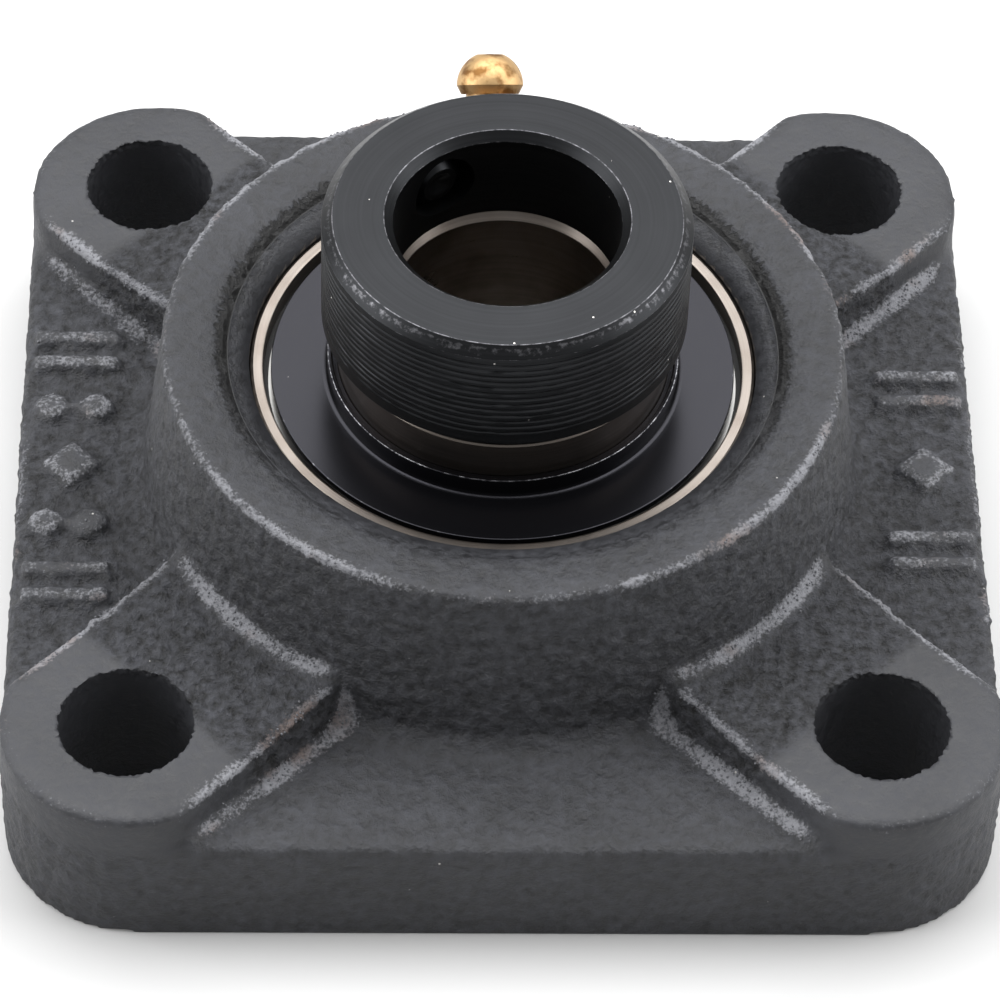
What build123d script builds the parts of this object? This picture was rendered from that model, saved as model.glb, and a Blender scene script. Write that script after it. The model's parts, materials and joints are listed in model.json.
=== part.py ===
from build123d import *
import os
from math import asin, cos, degrees, radians, sin, sqrt, tan

# Four-bolt flange bearing unit: a square cast housing with a self-aligning ball bearing
# insert, held on its shaft by an eccentric locking collar.
# Millimetres. The origin is the centre of the flange's back face, on the shaft's axis.
# +Z points along the shaft to the collar, and +Y to the side of the grease fitting.

# ---- Driving dimensions -----------------------------------------------------------------

# Flange plate and its four bolt bosses
bolt_spacing = 64.0
bolt_hole_diameter = 11.6
bolt_edge_distance = 11.0
flange_corner_radius = 11.6
flange_thickness = 11.4
flange_edge_rounding = 1.2
boss_rise = 3.6
boss_base_width = 21.8
boss_side_draft = 9.0
boss_ramp_angle = 6.5
boss_flat_reach = 4.3
boss_corner_rounding = 8.5

# Hub, which grows from the bearing seat outward
hub_wall = 6.2
hub_draft = 7.2
hub_base_fillet = 2.4
hub_edge_rounding = 0.7
hub_rise_over_ring = 3.0
hub_land_width = 4.6
hub_land_dip = 0.4
hub_step_width = 0.3
hub_step_drop = 0.4
mouth_rise_over_ring = 0.6
bearing_centre_height = 17.0

# Raised foundry marks on the flange
mark_height = 1.0
mark_length = 7.6
mark_width = 1.5
mark_pitch = 6.9
mark_edge_distance = 4.9

# Bearing insert: radial stack from the shaft outward
shaft_diameter = 19.05
inner_race_wall = 3.196
ball_diameter = 7.938
ball_count = 8
outer_race_wall = 2.721
shoulder_height = 1.7
outer_land_height = 1.5
ring_rim_width = 1.05
ring_edge_chamfer = 0.2

# Bearing insert: axial stack from the ball's centre outward
cage_sheet = 0.7
cage_rivet_diameter = 1.2
cage_band_gap = 0.75
grease_gap = 0.7
seal_depth = 1.3
seal_core_sheet = 0.5
seal_bead_height = 0.2
slinger_gap = 0.75
slinger_sheet = 0.7
slinger_recess = 0.32
slinger_lip_height = 1.6
slinger_sleeve_wall = 0.88

# Inner ring's ends and the locking collar
ring_front_reach = 8.6
ring_back_gap = 0.5
ring_end_chamfer = 0.5
bore_chamfer = 0.7
eccentricity = 0.8
eccentric_wall = 3.175
eccentric_azimuth = 35.0
collar_overhang = 9.5
collar_engagement = 3.2
collar_recess_wall = 2.05
collar_face_chamfer = 0.9
collar_back_chamfer = 1.5
collar_bore_chamfer = 0.75
collar_groove_count = 13
collar_groove_pitch = 0.68
collar_groove_depth = 0.08
collar_groove_width = 0.3
set_screw_diameter = 6.0
set_screw_socket = 3.0
set_screw_socket_depth = 2.6
set_screw_setback = 0.35
set_screw_azimuth = 124.0
drift_hole_diameter = 4.0
drift_hole_depth = 3.0
drift_hole_azimuth = 45.0

# Anti-rotation pin between the outer ring and the housing
pin_diameter = 2.5
pin_depth_in_ring = 1.8
pin_stand_out = 1.45
pin_azimuth = -90.0
self_align_angle = 2.5

# Grease passage and fitting, on an axis that rises from the seat at fitting_slope
fitting_azimuth = 91.2
fitting_slope = 45.0
fitting_seat_offset = -1.0
grease_hole_diameter = 3.0
grease_groove_offset = 4.3
grease_groove_width = 2.0
grease_groove_depth = 0.8
ring_grease_hole_diameter = 1.5
fitting_pad_diameter = 10.0
fitting_pad_rise = 0.3
fitting_thread_diameter = 6.35
fitting_thread_length = 5.2
fitting_hex = 7.1
fitting_hex_height = 2.6
fitting_neck_diameter = 4.4
fitting_neck_length = 1.2
fitting_head_diameter = 6.1
fitting_skirt_height = 0.8
fitting_orifice_diameter = 1.8
fitting_orifice_length = 0.35
check_ball_diameter = 2.2
check_ball_travel = 0.8
check_spring_length = 3.4
check_spring_wire = 0.26
check_spring_coils = 6

# Clearances, each one on a side or on a radius
seat_clearance = 0.05
raceway_clearance = 0.06
cage_pocket_clearance = 0.08
rivet_clearance = 0.02
mouth_clearance = 0.2
slinger_edge_gap = 0.65
seal_lip_clearance = 0.12
seal_seat_clearance = 0.03
collar_bore_clearance = 0.2
collar_recess_clearance = 0.25
collar_end_clearance = 0.3
loading_clearance = 0.2
pin_clearance = 0.04
keyway_end_clearance = 0.3
thread_clearance = 0.05
check_ball_clearance = 0.1
check_seat_clearance = 0.01

# ---- Worked-out dimensions --------------------------------------------------------------

ball_radius = ball_diameter / 2
shaft_radius = shaft_diameter / 2
raceway_radius = ball_radius + raceway_clearance
pitch_radius = shaft_radius + inner_race_wall + raceway_radius
shoulder_radius = shaft_radius + inner_race_wall + shoulder_height
outer_land_radius = pitch_radius + raceway_radius - outer_land_height
insert_radius = pitch_radius + raceway_radius + outer_race_wall

cage_shell_radius = ball_radius + cage_pocket_clearance + cage_sheet
seal_start = cage_shell_radius + grease_gap
seal_end = seal_start + seal_depth
slinger_start = seal_end + slinger_gap
slinger_top = slinger_start + slinger_sheet
insert_half_width = slinger_top + slinger_recess
insert_face_radius = sqrt(insert_radius**2 - insert_half_width**2)
ring_mouth_radius = insert_face_radius - ring_rim_width
seal_seat_radius = ring_mouth_radius + seal_bead_height
slinger_radius = ring_mouth_radius - slinger_edge_gap

seat_radius = insert_radius + seat_clearance
housing_mouth_radius = insert_face_radius + mouth_clearance
mouth_height = bearing_centre_height + insert_half_width + mouth_rise_over_ring
hub_height = bearing_centre_height + insert_half_width + hub_rise_over_ring
hub_top_radius = insert_radius + hub_wall
hub_base_radius = hub_top_radius + (hub_height - flange_thickness) * tan(radians(hub_draft))
flange_side = bolt_spacing + 2 * bolt_edge_distance
boss_height = flange_thickness + boss_rise
bolt_reach = bolt_spacing / sqrt(2)

ring_front = insert_half_width + ring_front_reach
ring_back = bearing_centre_height - ring_back_gap
eccentric_radius = shaft_radius + eccentric_wall
collar_front = ring_front + collar_overhang
collar_back = ring_front - collar_engagement
collar_recess_top = ring_front + collar_end_clearance
collar_recess_radius = eccentric_radius + collar_recess_clearance
collar_bore_radius = shaft_radius + collar_bore_clearance
collar_radius = collar_recess_radius + eccentricity + collar_recess_wall
set_screw_height = (collar_recess_top + collar_front) / 2
set_screw_length = collar_radius - collar_bore_radius - 2 * set_screw_setback

pin_height = -(raceway_radius * cos(asin(1 - outer_land_height / raceway_radius)) + seal_start) / 2
pin_slope = degrees(asin(pin_height / insert_radius))

seat_entry_radius = sqrt(seat_radius**2 - fitting_seat_offset**2)
seat_entry_height = bearing_centre_height + fitting_seat_offset
hub_exit_gap = hub_top_radius + (hub_height - seat_entry_height) * tan(radians(hub_draft))
hub_exit_gap -= seat_entry_radius
fitting_run = hub_exit_gap / (cos(radians(fitting_slope)) + sin(radians(fitting_slope)) * tan(radians(hub_draft)))
spot_face = fitting_run + fitting_pad_rise
hex_top = spot_face + fitting_hex_height
head_base = hex_top + fitting_neck_length
head_centre = head_base + fitting_skirt_height
head_radius = fitting_head_diameter / 2
orifice_radius = fitting_orifice_diameter / 2
fitting_tip = head_centre + sqrt(head_radius**2 - (orifice_radius + 0.3) ** 2)
check_ball_radius = check_ball_diameter / 2
chamber_radius = check_ball_radius + check_ball_clearance
chamber_top = fitting_tip - fitting_orifice_length
check_ball_place = chamber_top - sqrt((check_ball_radius + check_seat_clearance) ** 2 - orifice_radius**2)
spring_coil_radius = chamber_radius - check_spring_wire / 2 - check_ball_clearance
spring_rest_gap = sqrt((check_ball_radius + check_spring_wire / 2) ** 2 - spring_coil_radius**2)
spring_top = check_ball_place - spring_rest_gap - check_seat_clearance
spring_foot = spring_top - check_spring_length


# ---- Helpers ----------------------------------------------------------------------------

def turned(*points):
    """A solid of revolution about Z from a closed outline of (radius, height) points."""
    return revolve(Plane.XZ * make_face(Polyline(*points, close=True)), Axis.Z)


def ring(inner, outer, bottom, top):
    """A plain ring about Z."""
    return turned((inner, bottom), (outer, bottom), (outer, top), (inner, top))


def at_centre(shape):
    """Lifts a piece drawn about the bearing's centre to its place over the flange."""
    return Pos(0, 0, bearing_centre_height) * shape


def radial_frame(azimuth, slope, origin):
    """A frame whose z runs outward at an azimuth about Z and a slope above level."""
    level = cos(radians(slope))
    out = (level * cos(radians(azimuth)), level * sin(radians(azimuth)), sin(radians(slope)))
    across = (-sin(radians(azimuth)), cos(radians(azimuth)), 0)
    return Plane(origin=origin, x_dir=across, z_dir=out).location


def fitting_frame():
    """The grease fitting's frame: its origin is where its axis meets the bearing seat."""
    turn = radians(fitting_azimuth)
    entry = (seat_entry_radius * cos(turn), seat_entry_radius * sin(turn), seat_entry_height)
    return radial_frame(fitting_azimuth, fitting_slope, entry)


def pin_frame():
    """The anti-rotation pin's frame, with its origin at the bearing's centre."""
    return radial_frame(pin_azimuth, pin_slope, (0, 0, bearing_centre_height))


def set_screw_frame():
    """The collar screw's frame, with its origin on the shaft's axis."""
    return radial_frame(set_screw_azimuth, 0, (0, 0, bearing_centre_height + set_screw_height))


def rod(radius, bottom, top):
    """A cylinder on local z between two heights."""
    return Pos(0, 0, bottom) * Cylinder(radius, top - bottom, align=(Align.CENTER, Align.CENTER, Align.MIN))


# ---- Housing ----------------------------------------------------------------------------

def flange_plate():
    """The square plate, with rounded corners and a rounded front edge."""
    outline = RectangleRounded(flange_side, flange_side, flange_corner_radius)
    plate = extrude(outline, flange_thickness)
    return fillet(plate.faces().sort_by(Axis.Z)[-1].edges(), flange_edge_rounding)


def hub():
    """The drafted hub with a flared foot and a dished front face."""
    step_outer = hub_top_radius - hub_land_width
    step_inner = step_outer - hub_step_width
    land_height = hub_height - hub_land_dip
    outline = make_face(Polyline(
        (0, 1), (hub_base_radius + 2 * hub_base_fillet, 1),
        (hub_base_radius + 2 * hub_base_fillet, flange_thickness),
        (hub_base_radius, flange_thickness), (hub_top_radius, hub_height),
        (step_outer, land_height), (step_inner, land_height - hub_step_drop),
        (housing_mouth_radius, mouth_height), (0, mouth_height), close=True))
    foot = outline.vertices().sort_by_distance((hub_base_radius, flange_thickness))[0]
    outline = fillet(foot, hub_base_fillet)
    edge = outline.vertices().sort_by_distance((hub_top_radius, hub_height))[0]
    outline = fillet(edge, hub_edge_rounding)
    return revolve(Plane.XZ * outline, Axis.Z)


def corner_boss():
    """One bolt boss: a drafted bar along the diagonal that ramps up to the hub."""
    far = bolt_reach + flange_side / 2
    flat_start = bolt_reach - boss_flat_reach
    root = housing_mouth_radius + hub_wall / 2
    ramp_rise = (flat_start - root) * tan(radians(boss_ramp_angle))
    side_view = make_face(Polyline(
        (root, 1), (far, 1), (far, boss_height), (flat_start, boss_height),
        (root, boss_height + ramp_rise), close=True))
    bar = extrude(Plane.XZ * side_view, boss_base_width, both=True)
    base = Pos(far / 2, 0, flange_thickness) * Rectangle(2 * far, boss_base_width)
    drafted = extrude(base, boss_rise + 2 * ramp_rise, taper=boss_side_draft)
    drafted += Pos(far / 2, 0, flange_thickness / 2) * Box(2 * far, boss_base_width, flange_thickness)
    return Rot(0, 0, 45) * (bar & drafted)


def boss_outline():
    """The plan of one boss: the bar within the flange, with its corners rounded off."""
    bar = Rot(0, 0, 45) * Rectangle(2 * flange_side, boss_base_width)
    quarter = Rectangle(flange_side, flange_side, align=Align.MIN)
    plan = RectangleRounded(flange_side, flange_side, flange_corner_radius) & bar & quarter
    reach = flange_side / 2
    inset = reach - boss_base_width / sqrt(2)
    corners = [plan.vertices().sort_by_distance(place)[0] for place in ((reach, inset), (inset, reach))]
    return fillet(corners, boss_corner_rounding)


def corner_bosses():
    """The four bosses, trimmed to their rounded plan."""
    one = corner_boss() & extrude(boss_outline(), hub_height)
    return [Rot(0, 0, 90 * turn) * one for turn in range(4)]


def mark(kind):
    """One raised foundry mark, drawn flat about its own centre."""
    if kind == "lozenge":
        return Rot(0, 0, 45) * Rectangle(mark_length / 2, mark_length / 2)
    if kind == "dots":
        dot = Circle(mark_width)
        return Pos(-mark_length / 4, 0) * dot + Pos(mark_length / 4, 0) * dot
    bar = Rectangle(mark_length, mark_width)
    return Pos(0, -mark_width) * bar + Pos(0, mark_width) * bar


def foundry_marks():
    """Plain raised shapes, five on the left of the flange and three on the right."""
    column = flange_side / 2 - mark_edge_distance
    left = ["bars", "dots", "lozenge", "dots", "bars"]
    right = ["bars", "lozenge", "bars"]
    places = [(kind, -column, (2 - row) * mark_pitch) for row, kind in enumerate(left)]
    places += [(kind, column, (1 - row) * mark_pitch * 1.4) for row, kind in enumerate(right)]
    pieces = []
    for kind, across, along in places:
        sketch = Pos(across, along, flange_thickness - mark_height) * mark(kind)
        pieces.append(extrude(sketch, 2 * mark_height))
    return pieces


def fitting_pad():
    """The cast pad that the grease fitting screws down on."""
    return fitting_frame() * rod(fitting_pad_diameter / 2, fitting_thread_length / 2, spot_face)


def seat_cavity():
    """The spherical seat, open through both mouths, with its slots for the insert."""
    mouth = rod(housing_mouth_radius, -1, hub_height + 1)
    slot = Box(4 * seat_radius, 2 * (insert_half_width + loading_clearance), bearing_centre_height)
    slot = Pos(0, 0, bearing_centre_height / 2) * slot & rod(seat_radius, -1, hub_height)
    groove_middle = bearing_centre_height + grease_groove_offset
    groove = rod(seat_radius + grease_groove_depth - 0.4, groove_middle - grease_groove_width / 2,
                 groove_middle + grease_groove_width / 2)
    return at_centre(Sphere(seat_radius)) + mouth + slot + groove


def pin_keyway():
    """The slot in the back of the seat that the anti-rotation pin swings along."""
    tip = insert_radius + pin_stand_out
    swing = radians(pin_slope + self_align_angle)
    top = bearing_centre_height + tip * sin(swing) + pin_diameter / 2 + keyway_end_clearance
    depth = tip + keyway_end_clearance - insert_radius / 2
    key = Box(depth, pin_diameter + 2 * pin_clearance, top + 1,
              align=(Align.MIN, Align.CENTER, Align.MIN))
    return Rot(0, 0, pin_azimuth) * Pos(insert_radius / 2, 0, -1) * key


def grease_way():
    """The tapped hole, the passage to the seat and the pocket up to its groove."""
    clear = fitting_frame() * rod(fitting_pad_diameter / 2 - 0.3, spot_face, spot_face + hub_height)
    tapped = fitting_frame() * rod(fitting_thread_diameter / 2, spot_face - fitting_thread_length, spot_face + 1)
    passage = fitting_frame() * rod(grease_hole_diameter / 2, -1, spot_face)
    rise = grease_groove_offset - fitting_seat_offset
    pocket = Box(seat_radius + grease_groove_depth, grease_hole_diameter, rise,
                 align=(Align.MIN, Align.CENTER, Align.MIN))
    return clear + tapped + passage + Rot(0, 0, fitting_azimuth) * Pos(0, 0, seat_entry_height) * pocket


def housing():
    """The cast housing, machined for the insert, bolts, pin and grease fitting."""
    body = flange_plate() + hub() + corner_bosses() + foundry_marks() + fitting_pad()
    holes = GridLocations(bolt_spacing, bolt_spacing, 2, 2) * rod(bolt_hole_diameter / 2, -1, hub_height)
    return body - seat_cavity() - pin_keyway() - grease_way() - holes


# ---- Grease fitting ---------------------------------------------------------------------

def grease_fitting_body():
    """The brass nipple: thread, hexagon, neck and domed head, bored for the check valve."""
    thread_radius = fitting_thread_diameter / 2 - thread_clearance
    neck_radius = fitting_neck_diameter / 2
    thread_start = spot_face - fitting_thread_length + thread_clearance
    tip_radius = orifice_radius + 0.3
    lean = radians(45)
    crown = (head_radius * cos(lean), head_centre + head_radius * sin(lean))
    lines = Polyline((0, fitting_tip), (0, thread_start), (thread_radius - 0.5, thread_start),
                     (thread_radius, thread_start + 0.5), (thread_radius, spot_face),
                     (neck_radius, spot_face), (neck_radius, head_base),
                     (head_radius - 0.4, head_base), (head_radius, head_centre))
    dome = ThreePointArc((head_radius, head_centre), crown, (tip_radius, fitting_tip))
    outline = make_face(lines + dome + Line((tip_radius, fitting_tip), (0, fitting_tip)))
    body = revolve(Plane.XZ * outline, Axis.Z)
    flats = RegularPolygon(fitting_hex / 2, 6, major_radius=False)
    body += Pos(0, 0, spot_face) * extrude(flats, fitting_hex_height)
    body -= rod(chamber_radius, spring_foot - check_spring_wire, chamber_top)
    body -= rod(orifice_radius, chamber_top - 0.1, fitting_tip + 1)
    body -= rod(orifice_radius, thread_start - 1, spring_foot)
    return fitting_frame() * body


def grease_fitting_ball():
    """The check ball, just under the orifice in the fitting's tip."""
    return fitting_frame() * Pos(0, 0, check_ball_place) * Sphere(check_ball_radius)


def grease_fitting_spring():
    """The coil spring that holds the check ball up."""
    path = Helix(check_spring_length / check_spring_coils, check_spring_length, spring_coil_radius)
    wire = Plane(origin=path @ 0, z_dir=path % 0) * Circle(check_spring_wire / 2)
    return fitting_frame() * Pos(0, 0, spring_foot) * sweep(wire, path=path)


# ---- Bearing insert ---------------------------------------------------------------------

def anti_rotation_pin():
    """The pin that stands in the outer ring and keeps it from turning in its seat."""
    inner = insert_radius - pin_depth_in_ring + pin_clearance
    body = rod(pin_diameter / 2, inner, insert_radius + pin_stand_out)
    return pin_frame() * chamfer(body.edges().filter_by(GeomType.CIRCLE), 0.2)


def outer_ring():
    """The outer ring: spherical outside, with a raceway, seal seats and a grease hole."""
    blank = Sphere(insert_radius) & rod(insert_radius, -insert_half_width, insert_half_width)
    blank = chamfer(blank.edges().filter_by(GeomType.CIRCLE), ring_edge_chamfer)
    bore = rod(outer_land_radius, -insert_half_width - 1, insert_half_width + 1)
    bore += Torus(pitch_radius, raceway_radius)
    for side in (-1, 1):
        seat = ring(outer_land_radius - 1, seal_seat_radius, side * seal_start, side * seal_end)
        mouth = ring(outer_land_radius - 1, ring_mouth_radius, side * seal_start,
                     side * (insert_half_width + 1))
        bore += [seat, mouth]
    blank -= bore
    lube = radial_frame(fitting_azimuth, 0, (0, 0, grease_groove_offset))
    blank -= lube * rod(ring_grease_hole_diameter / 2, outer_land_radius - 1, insert_radius + 1)
    socket = rod(pin_diameter / 2 + pin_clearance, insert_radius - pin_depth_in_ring, insert_radius + 1)
    return at_centre(blank) - pin_frame() * socket


def inner_ring():
    """The inner ring: bore, raceway and the eccentric end that the collar locks on."""
    turn = radians(eccentric_azimuth)
    shoulder_end = collar_back - collar_end_clearance
    blank = turned((0, -ring_back), (shoulder_radius - ring_end_chamfer, -ring_back),
                   (shoulder_radius, -ring_back + ring_end_chamfer),
                   (shoulder_radius, shoulder_end - ring_end_chamfer),
                   (shoulder_radius - ring_end_chamfer, shoulder_end), (0, shoulder_end))
    end = rod(eccentric_radius, shoulder_end - 1, ring_front)
    end = chamfer(end.edges().sort_by(Axis.Z)[-1], ring_end_chamfer)
    blank += Pos(eccentricity * cos(turn), eccentricity * sin(turn), 0) * end
    mouth = shaft_radius + bore_chamfer
    bore = turned((0, -ring_back - 1), (mouth, -ring_back - 1), (mouth, -ring_back),
                  (shaft_radius, -ring_back + bore_chamfer), (shaft_radius, ring_front - bore_chamfer),
                  (mouth, ring_front), (mouth, ring_front + 1), (0, ring_front + 1))
    return at_centre(blank - bore - Torus(pitch_radius, raceway_radius))


def ball_places():
    """The balls' centres on the pitch circle, from the bearing's centre."""
    return PolarLocations(pitch_radius, ball_count)


def balls():
    """The balls, one solid each."""
    return [at_centre(place * Sphere(ball_radius)) for place in ball_places()]


def rivet_places():
    """The cage's rivets, halfway between the balls."""
    return PolarLocations(pitch_radius, ball_count, start_angle=180 / ball_count)


def cage_half(side):
    """One pressed half of the cage, on the front (1) or back (-1) of the balls."""
    inner = shoulder_radius + cage_band_gap
    outer = outer_land_radius - cage_band_gap
    band = ring(inner, outer, 0, cage_shell_radius)
    half = ring(inner, outer, 0, cage_sheet)
    half += [place * (Sphere(cage_shell_radius)) & band for place in ball_places()]
    half -= [place * Sphere(ball_radius + cage_pocket_clearance) for place in ball_places()]
    half -= rivet_places() * rod(cage_rivet_diameter / 2 + rivet_clearance, -1, cage_sheet + 1)
    if side < 0:
        half = mirror(half, Plane.XY)
    return at_centre(half)


def cage_rivets():
    """The rivets that close the cage, one between each two balls."""
    shank = rod(cage_rivet_diameter / 2, -cage_sheet, cage_sheet)
    head = cage_rivet_diameter * 0.85
    cap = rod(head, cage_sheet, cage_sheet + cage_sheet / 2)
    rivet = shank + cap + mirror(cap, Plane.XY)
    return Compound([at_centre(place * rivet) for place in rivet_places()])


def facing(shape, side):
    """A front piece as drawn, or its mirror image at the back, at the bearing's centre."""
    return at_centre(shape if side > 0 else mirror(shape, Plane.XY))


def seal_core(side):
    """The steel washer that stiffens a seal."""
    bottom = seal_end - seal_core_sheet - seal_bead_height
    core = ring(shoulder_radius + 2 * slinger_sleeve_wall, seal_seat_radius - 3 * seal_bead_height,
                bottom, bottom + seal_core_sheet)
    return facing(core, side)


def seal_lip(side):
    """The rubber of a seal: the lip on the inner ring, a web and the outer bead."""
    lip = shoulder_radius + seal_lip_clearance
    core_inner = shoulder_radius + 2 * slinger_sleeve_wall
    core_outer = seal_seat_radius - 3 * seal_bead_height
    bottom = seal_end - seal_core_sheet - seal_bead_height
    rubber = turned((lip, bottom), (lip, seal_end), (core_inner, seal_end), (core_inner, bottom),
                    (core_outer, bottom), (core_outer, seal_end),
                    (seal_seat_radius - seal_seat_clearance, seal_end),
                    (seal_seat_radius - seal_seat_clearance, seal_start), (lip + 1, seal_start))
    return facing(rubber, side)


def slinger(side):
    """The flinger pressed on the inner ring, which covers the seal."""
    sleeve = shoulder_radius + slinger_sleeve_wall
    lip = insert_half_width + slinger_lip_height
    disc = turned((shoulder_radius, slinger_start), (slinger_radius, slinger_start),
                  (slinger_radius, slinger_top - 0.15), (slinger_radius - 0.15, slinger_top),
                  (sleeve + 0.3, slinger_top), (sleeve, slinger_top + 0.3), (sleeve, lip - 0.25),
                  (sleeve - 0.25, lip), (shoulder_radius + 0.3, lip), (shoulder_radius, lip - 0.3))
    return facing(disc, side)


# ---- Locking collar ---------------------------------------------------------------------

def collar_outline():
    """The collar's section, with the fine turned grooves down its outside."""
    points = [(0, collar_back), (collar_radius - collar_back_chamfer, collar_back),
              (collar_radius, collar_back + collar_back_chamfer)]
    run = (collar_groove_count - 1) * collar_groove_pitch
    start = collar_front - collar_face_chamfer - collar_groove_pitch - run
    for turn in range(collar_groove_count):
        middle = start + turn * collar_groove_pitch
        points.append((collar_radius, middle - collar_groove_width / 2))
        points.append((collar_radius - collar_groove_depth, middle))
        points.append((collar_radius, middle + collar_groove_width / 2))
    points.append((collar_radius, collar_front - collar_face_chamfer))
    points.append((collar_radius - collar_face_chamfer, collar_front))
    points.append((0, collar_front))
    return points


def locking_collar():
    """The collar: bored for the shaft, with an eccentric recess and its radial holes."""
    turn = radians(eccentric_azimuth)
    mouth = collar_bore_radius + collar_bore_chamfer
    collar = turned(*collar_outline())
    bore = turned((0, collar_back - 1), (collar_bore_radius, collar_back - 1),
                  (collar_bore_radius, collar_front - collar_bore_chamfer), (mouth, collar_front),
                  (mouth, collar_front + 1), (0, collar_front + 1))
    recess = rod(collar_recess_radius, collar_back - 1, collar_recess_top)
    recess = Pos(eccentricity * cos(turn), eccentricity * sin(turn), 0) * recess
    collar = at_centre(collar - bore - recess)
    collar -= set_screw_frame() * rod(set_screw_diameter / 2 + thread_clearance, 0, collar_radius + 1)
    drift = radial_frame(drift_hole_azimuth, 0, (0, 0, bearing_centre_height + set_screw_height))
    return collar - drift * rod(drift_hole_diameter / 2, collar_radius - drift_hole_depth, collar_radius + 1)


def collar_set_screw():
    """The cup-point set screw with a hexagon socket, backed clear of the shaft."""
    inner = collar_bore_radius + set_screw_setback
    radius = set_screw_diameter / 2
    screw = turned((0, inner + 0.5), (radius * 0.4, inner), (radius * 0.55, inner),
                   (radius, inner + radius * 0.45), (radius, inner + set_screw_length - 0.4),
                   (radius - 0.4, inner + set_screw_length), (0, inner + set_screw_length))
    socket = RegularPolygon(set_screw_socket / 2, 6, major_radius=False)
    top = inner + set_screw_length
    screw -= Pos(0, 0, top - set_screw_socket_depth) * extrude(socket, set_screw_socket_depth + 1)
    return set_screw_frame() * screw


# ---- Export -----------------------------------------------------------------------------

nodes = {
    "housing": housing(),
    "grease_fitting_body": grease_fitting_body(),
    "grease_fitting_ball": grease_fitting_ball(),
    "grease_fitting_spring": grease_fitting_spring(),
    "anti_rotation_pin": anti_rotation_pin(),
    "outer_ring": outer_ring(),
    "inner_ring": inner_ring(),
    "cage_front_half": cage_half(1),
    "cage_back_half": cage_half(-1),
    "cage_rivets": cage_rivets(),
    "front_seal_core": seal_core(1),
    "front_seal_lip": seal_lip(1),
    "back_seal_core": seal_core(-1),
    "back_seal_lip": seal_lip(-1),
    "front_slinger": slinger(1),
    "back_slinger": slinger(-1),
    "locking_collar": locking_collar(),
    "collar_set_screw": collar_set_screw(),
}
for number, ball in enumerate(balls(), start=1):
    nodes[f"ball_{number}"] = ball

os.makedirs("parts", exist_ok=True)
for name, piece in nodes.items():
    export_step(piece, f"parts/{name}.step")
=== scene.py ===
"""Looks of a four-bolt flange bearing unit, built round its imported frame.

A grey-painted iron casting holds a self-aligning ball bearing insert. The insert's inner ring
carries two flingers and an eccentric end, on which a turned, blackened collar locks.
Sizes in the classes are millimetres, and meshes are metres in the frame's own axes.
"""

import json
import logging
import math
from dataclasses import dataclass, field, replace
from enum import Enum
from typing import Any, Optional, Sequence

import bmesh
import bpy
import numpy as np
from mathutils import Matrix, Vector, noise
from mathutils.kdtree import KDTree

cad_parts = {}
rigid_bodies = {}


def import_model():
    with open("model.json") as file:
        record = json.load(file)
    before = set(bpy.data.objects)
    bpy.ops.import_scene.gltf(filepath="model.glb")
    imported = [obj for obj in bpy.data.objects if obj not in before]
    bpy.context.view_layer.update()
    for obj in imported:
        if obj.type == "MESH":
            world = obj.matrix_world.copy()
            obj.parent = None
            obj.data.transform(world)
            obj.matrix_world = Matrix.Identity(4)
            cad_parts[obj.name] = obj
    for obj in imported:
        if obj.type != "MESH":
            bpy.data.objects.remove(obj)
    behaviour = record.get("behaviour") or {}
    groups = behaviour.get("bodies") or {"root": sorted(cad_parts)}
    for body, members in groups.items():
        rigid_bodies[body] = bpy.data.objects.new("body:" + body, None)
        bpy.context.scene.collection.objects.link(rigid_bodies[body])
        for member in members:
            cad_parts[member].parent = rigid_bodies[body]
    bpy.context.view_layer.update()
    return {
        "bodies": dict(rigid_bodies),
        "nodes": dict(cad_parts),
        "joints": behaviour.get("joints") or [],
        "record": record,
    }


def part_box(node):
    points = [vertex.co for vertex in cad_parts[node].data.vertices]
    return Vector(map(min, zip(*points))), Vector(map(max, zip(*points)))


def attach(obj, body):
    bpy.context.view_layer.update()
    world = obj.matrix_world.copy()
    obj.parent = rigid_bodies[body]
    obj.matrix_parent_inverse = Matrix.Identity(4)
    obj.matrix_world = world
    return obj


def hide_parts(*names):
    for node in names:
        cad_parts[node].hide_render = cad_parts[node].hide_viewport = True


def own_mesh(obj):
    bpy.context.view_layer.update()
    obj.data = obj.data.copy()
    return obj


log = logging.getLogger("flange_bearing")

MM = 0.001
# How far a rounded corner's middle leans to the sharp corner; 1 gives a parabola.
CORNER_FULLNESS = 0.83


# ---- Small tools ------------------------------------------------------------------------


def linear(colour: str) -> tuple[float, float, float, float]:
    """Turns an sRGB hex colour into the linear RGBA that a shader takes.

    Args:
        colour: Six hex digits after a hash.

    Returns:
        Linear red, green and blue with an alpha of 1.
    """
    parts = [int(colour[i:i + 2], 16) / 255 for i in (1, 3, 5)]
    red, green, blue = [p / 12.92 if p <= 0.04045 else ((p + 0.055) / 1.055) ** 2.4 for p in parts]
    return red, green, blue, 1.0


def per(size: float) -> float:
    """The texture scale that gives a pattern features of this size in millimetres."""
    return 1 / (size * MM)


def add_node(tree: bpy.types.NodeTree, kind: str, inputs: Optional[dict] = None,
             **settings: Any) -> bpy.types.Node:
    """Adds a node with its settings, and fills its inputs with values or links.

    Args:
        tree: The tree that gets the node.
        kind: The node's type name.
        inputs: Values or output sockets by input name or number.
        settings: Properties set on the node before its inputs.

    Returns:
        The new node.
    """
    node = tree.nodes.new(kind)
    for name, value in settings.items():
        setattr(node, name, value)
    for name, value in (inputs or {}).items():
        if isinstance(value, bpy.types.NodeSocket):
            tree.links.new(value, node.inputs[name])
        else:
            node.inputs[name].default_value = value
    return node


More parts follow.
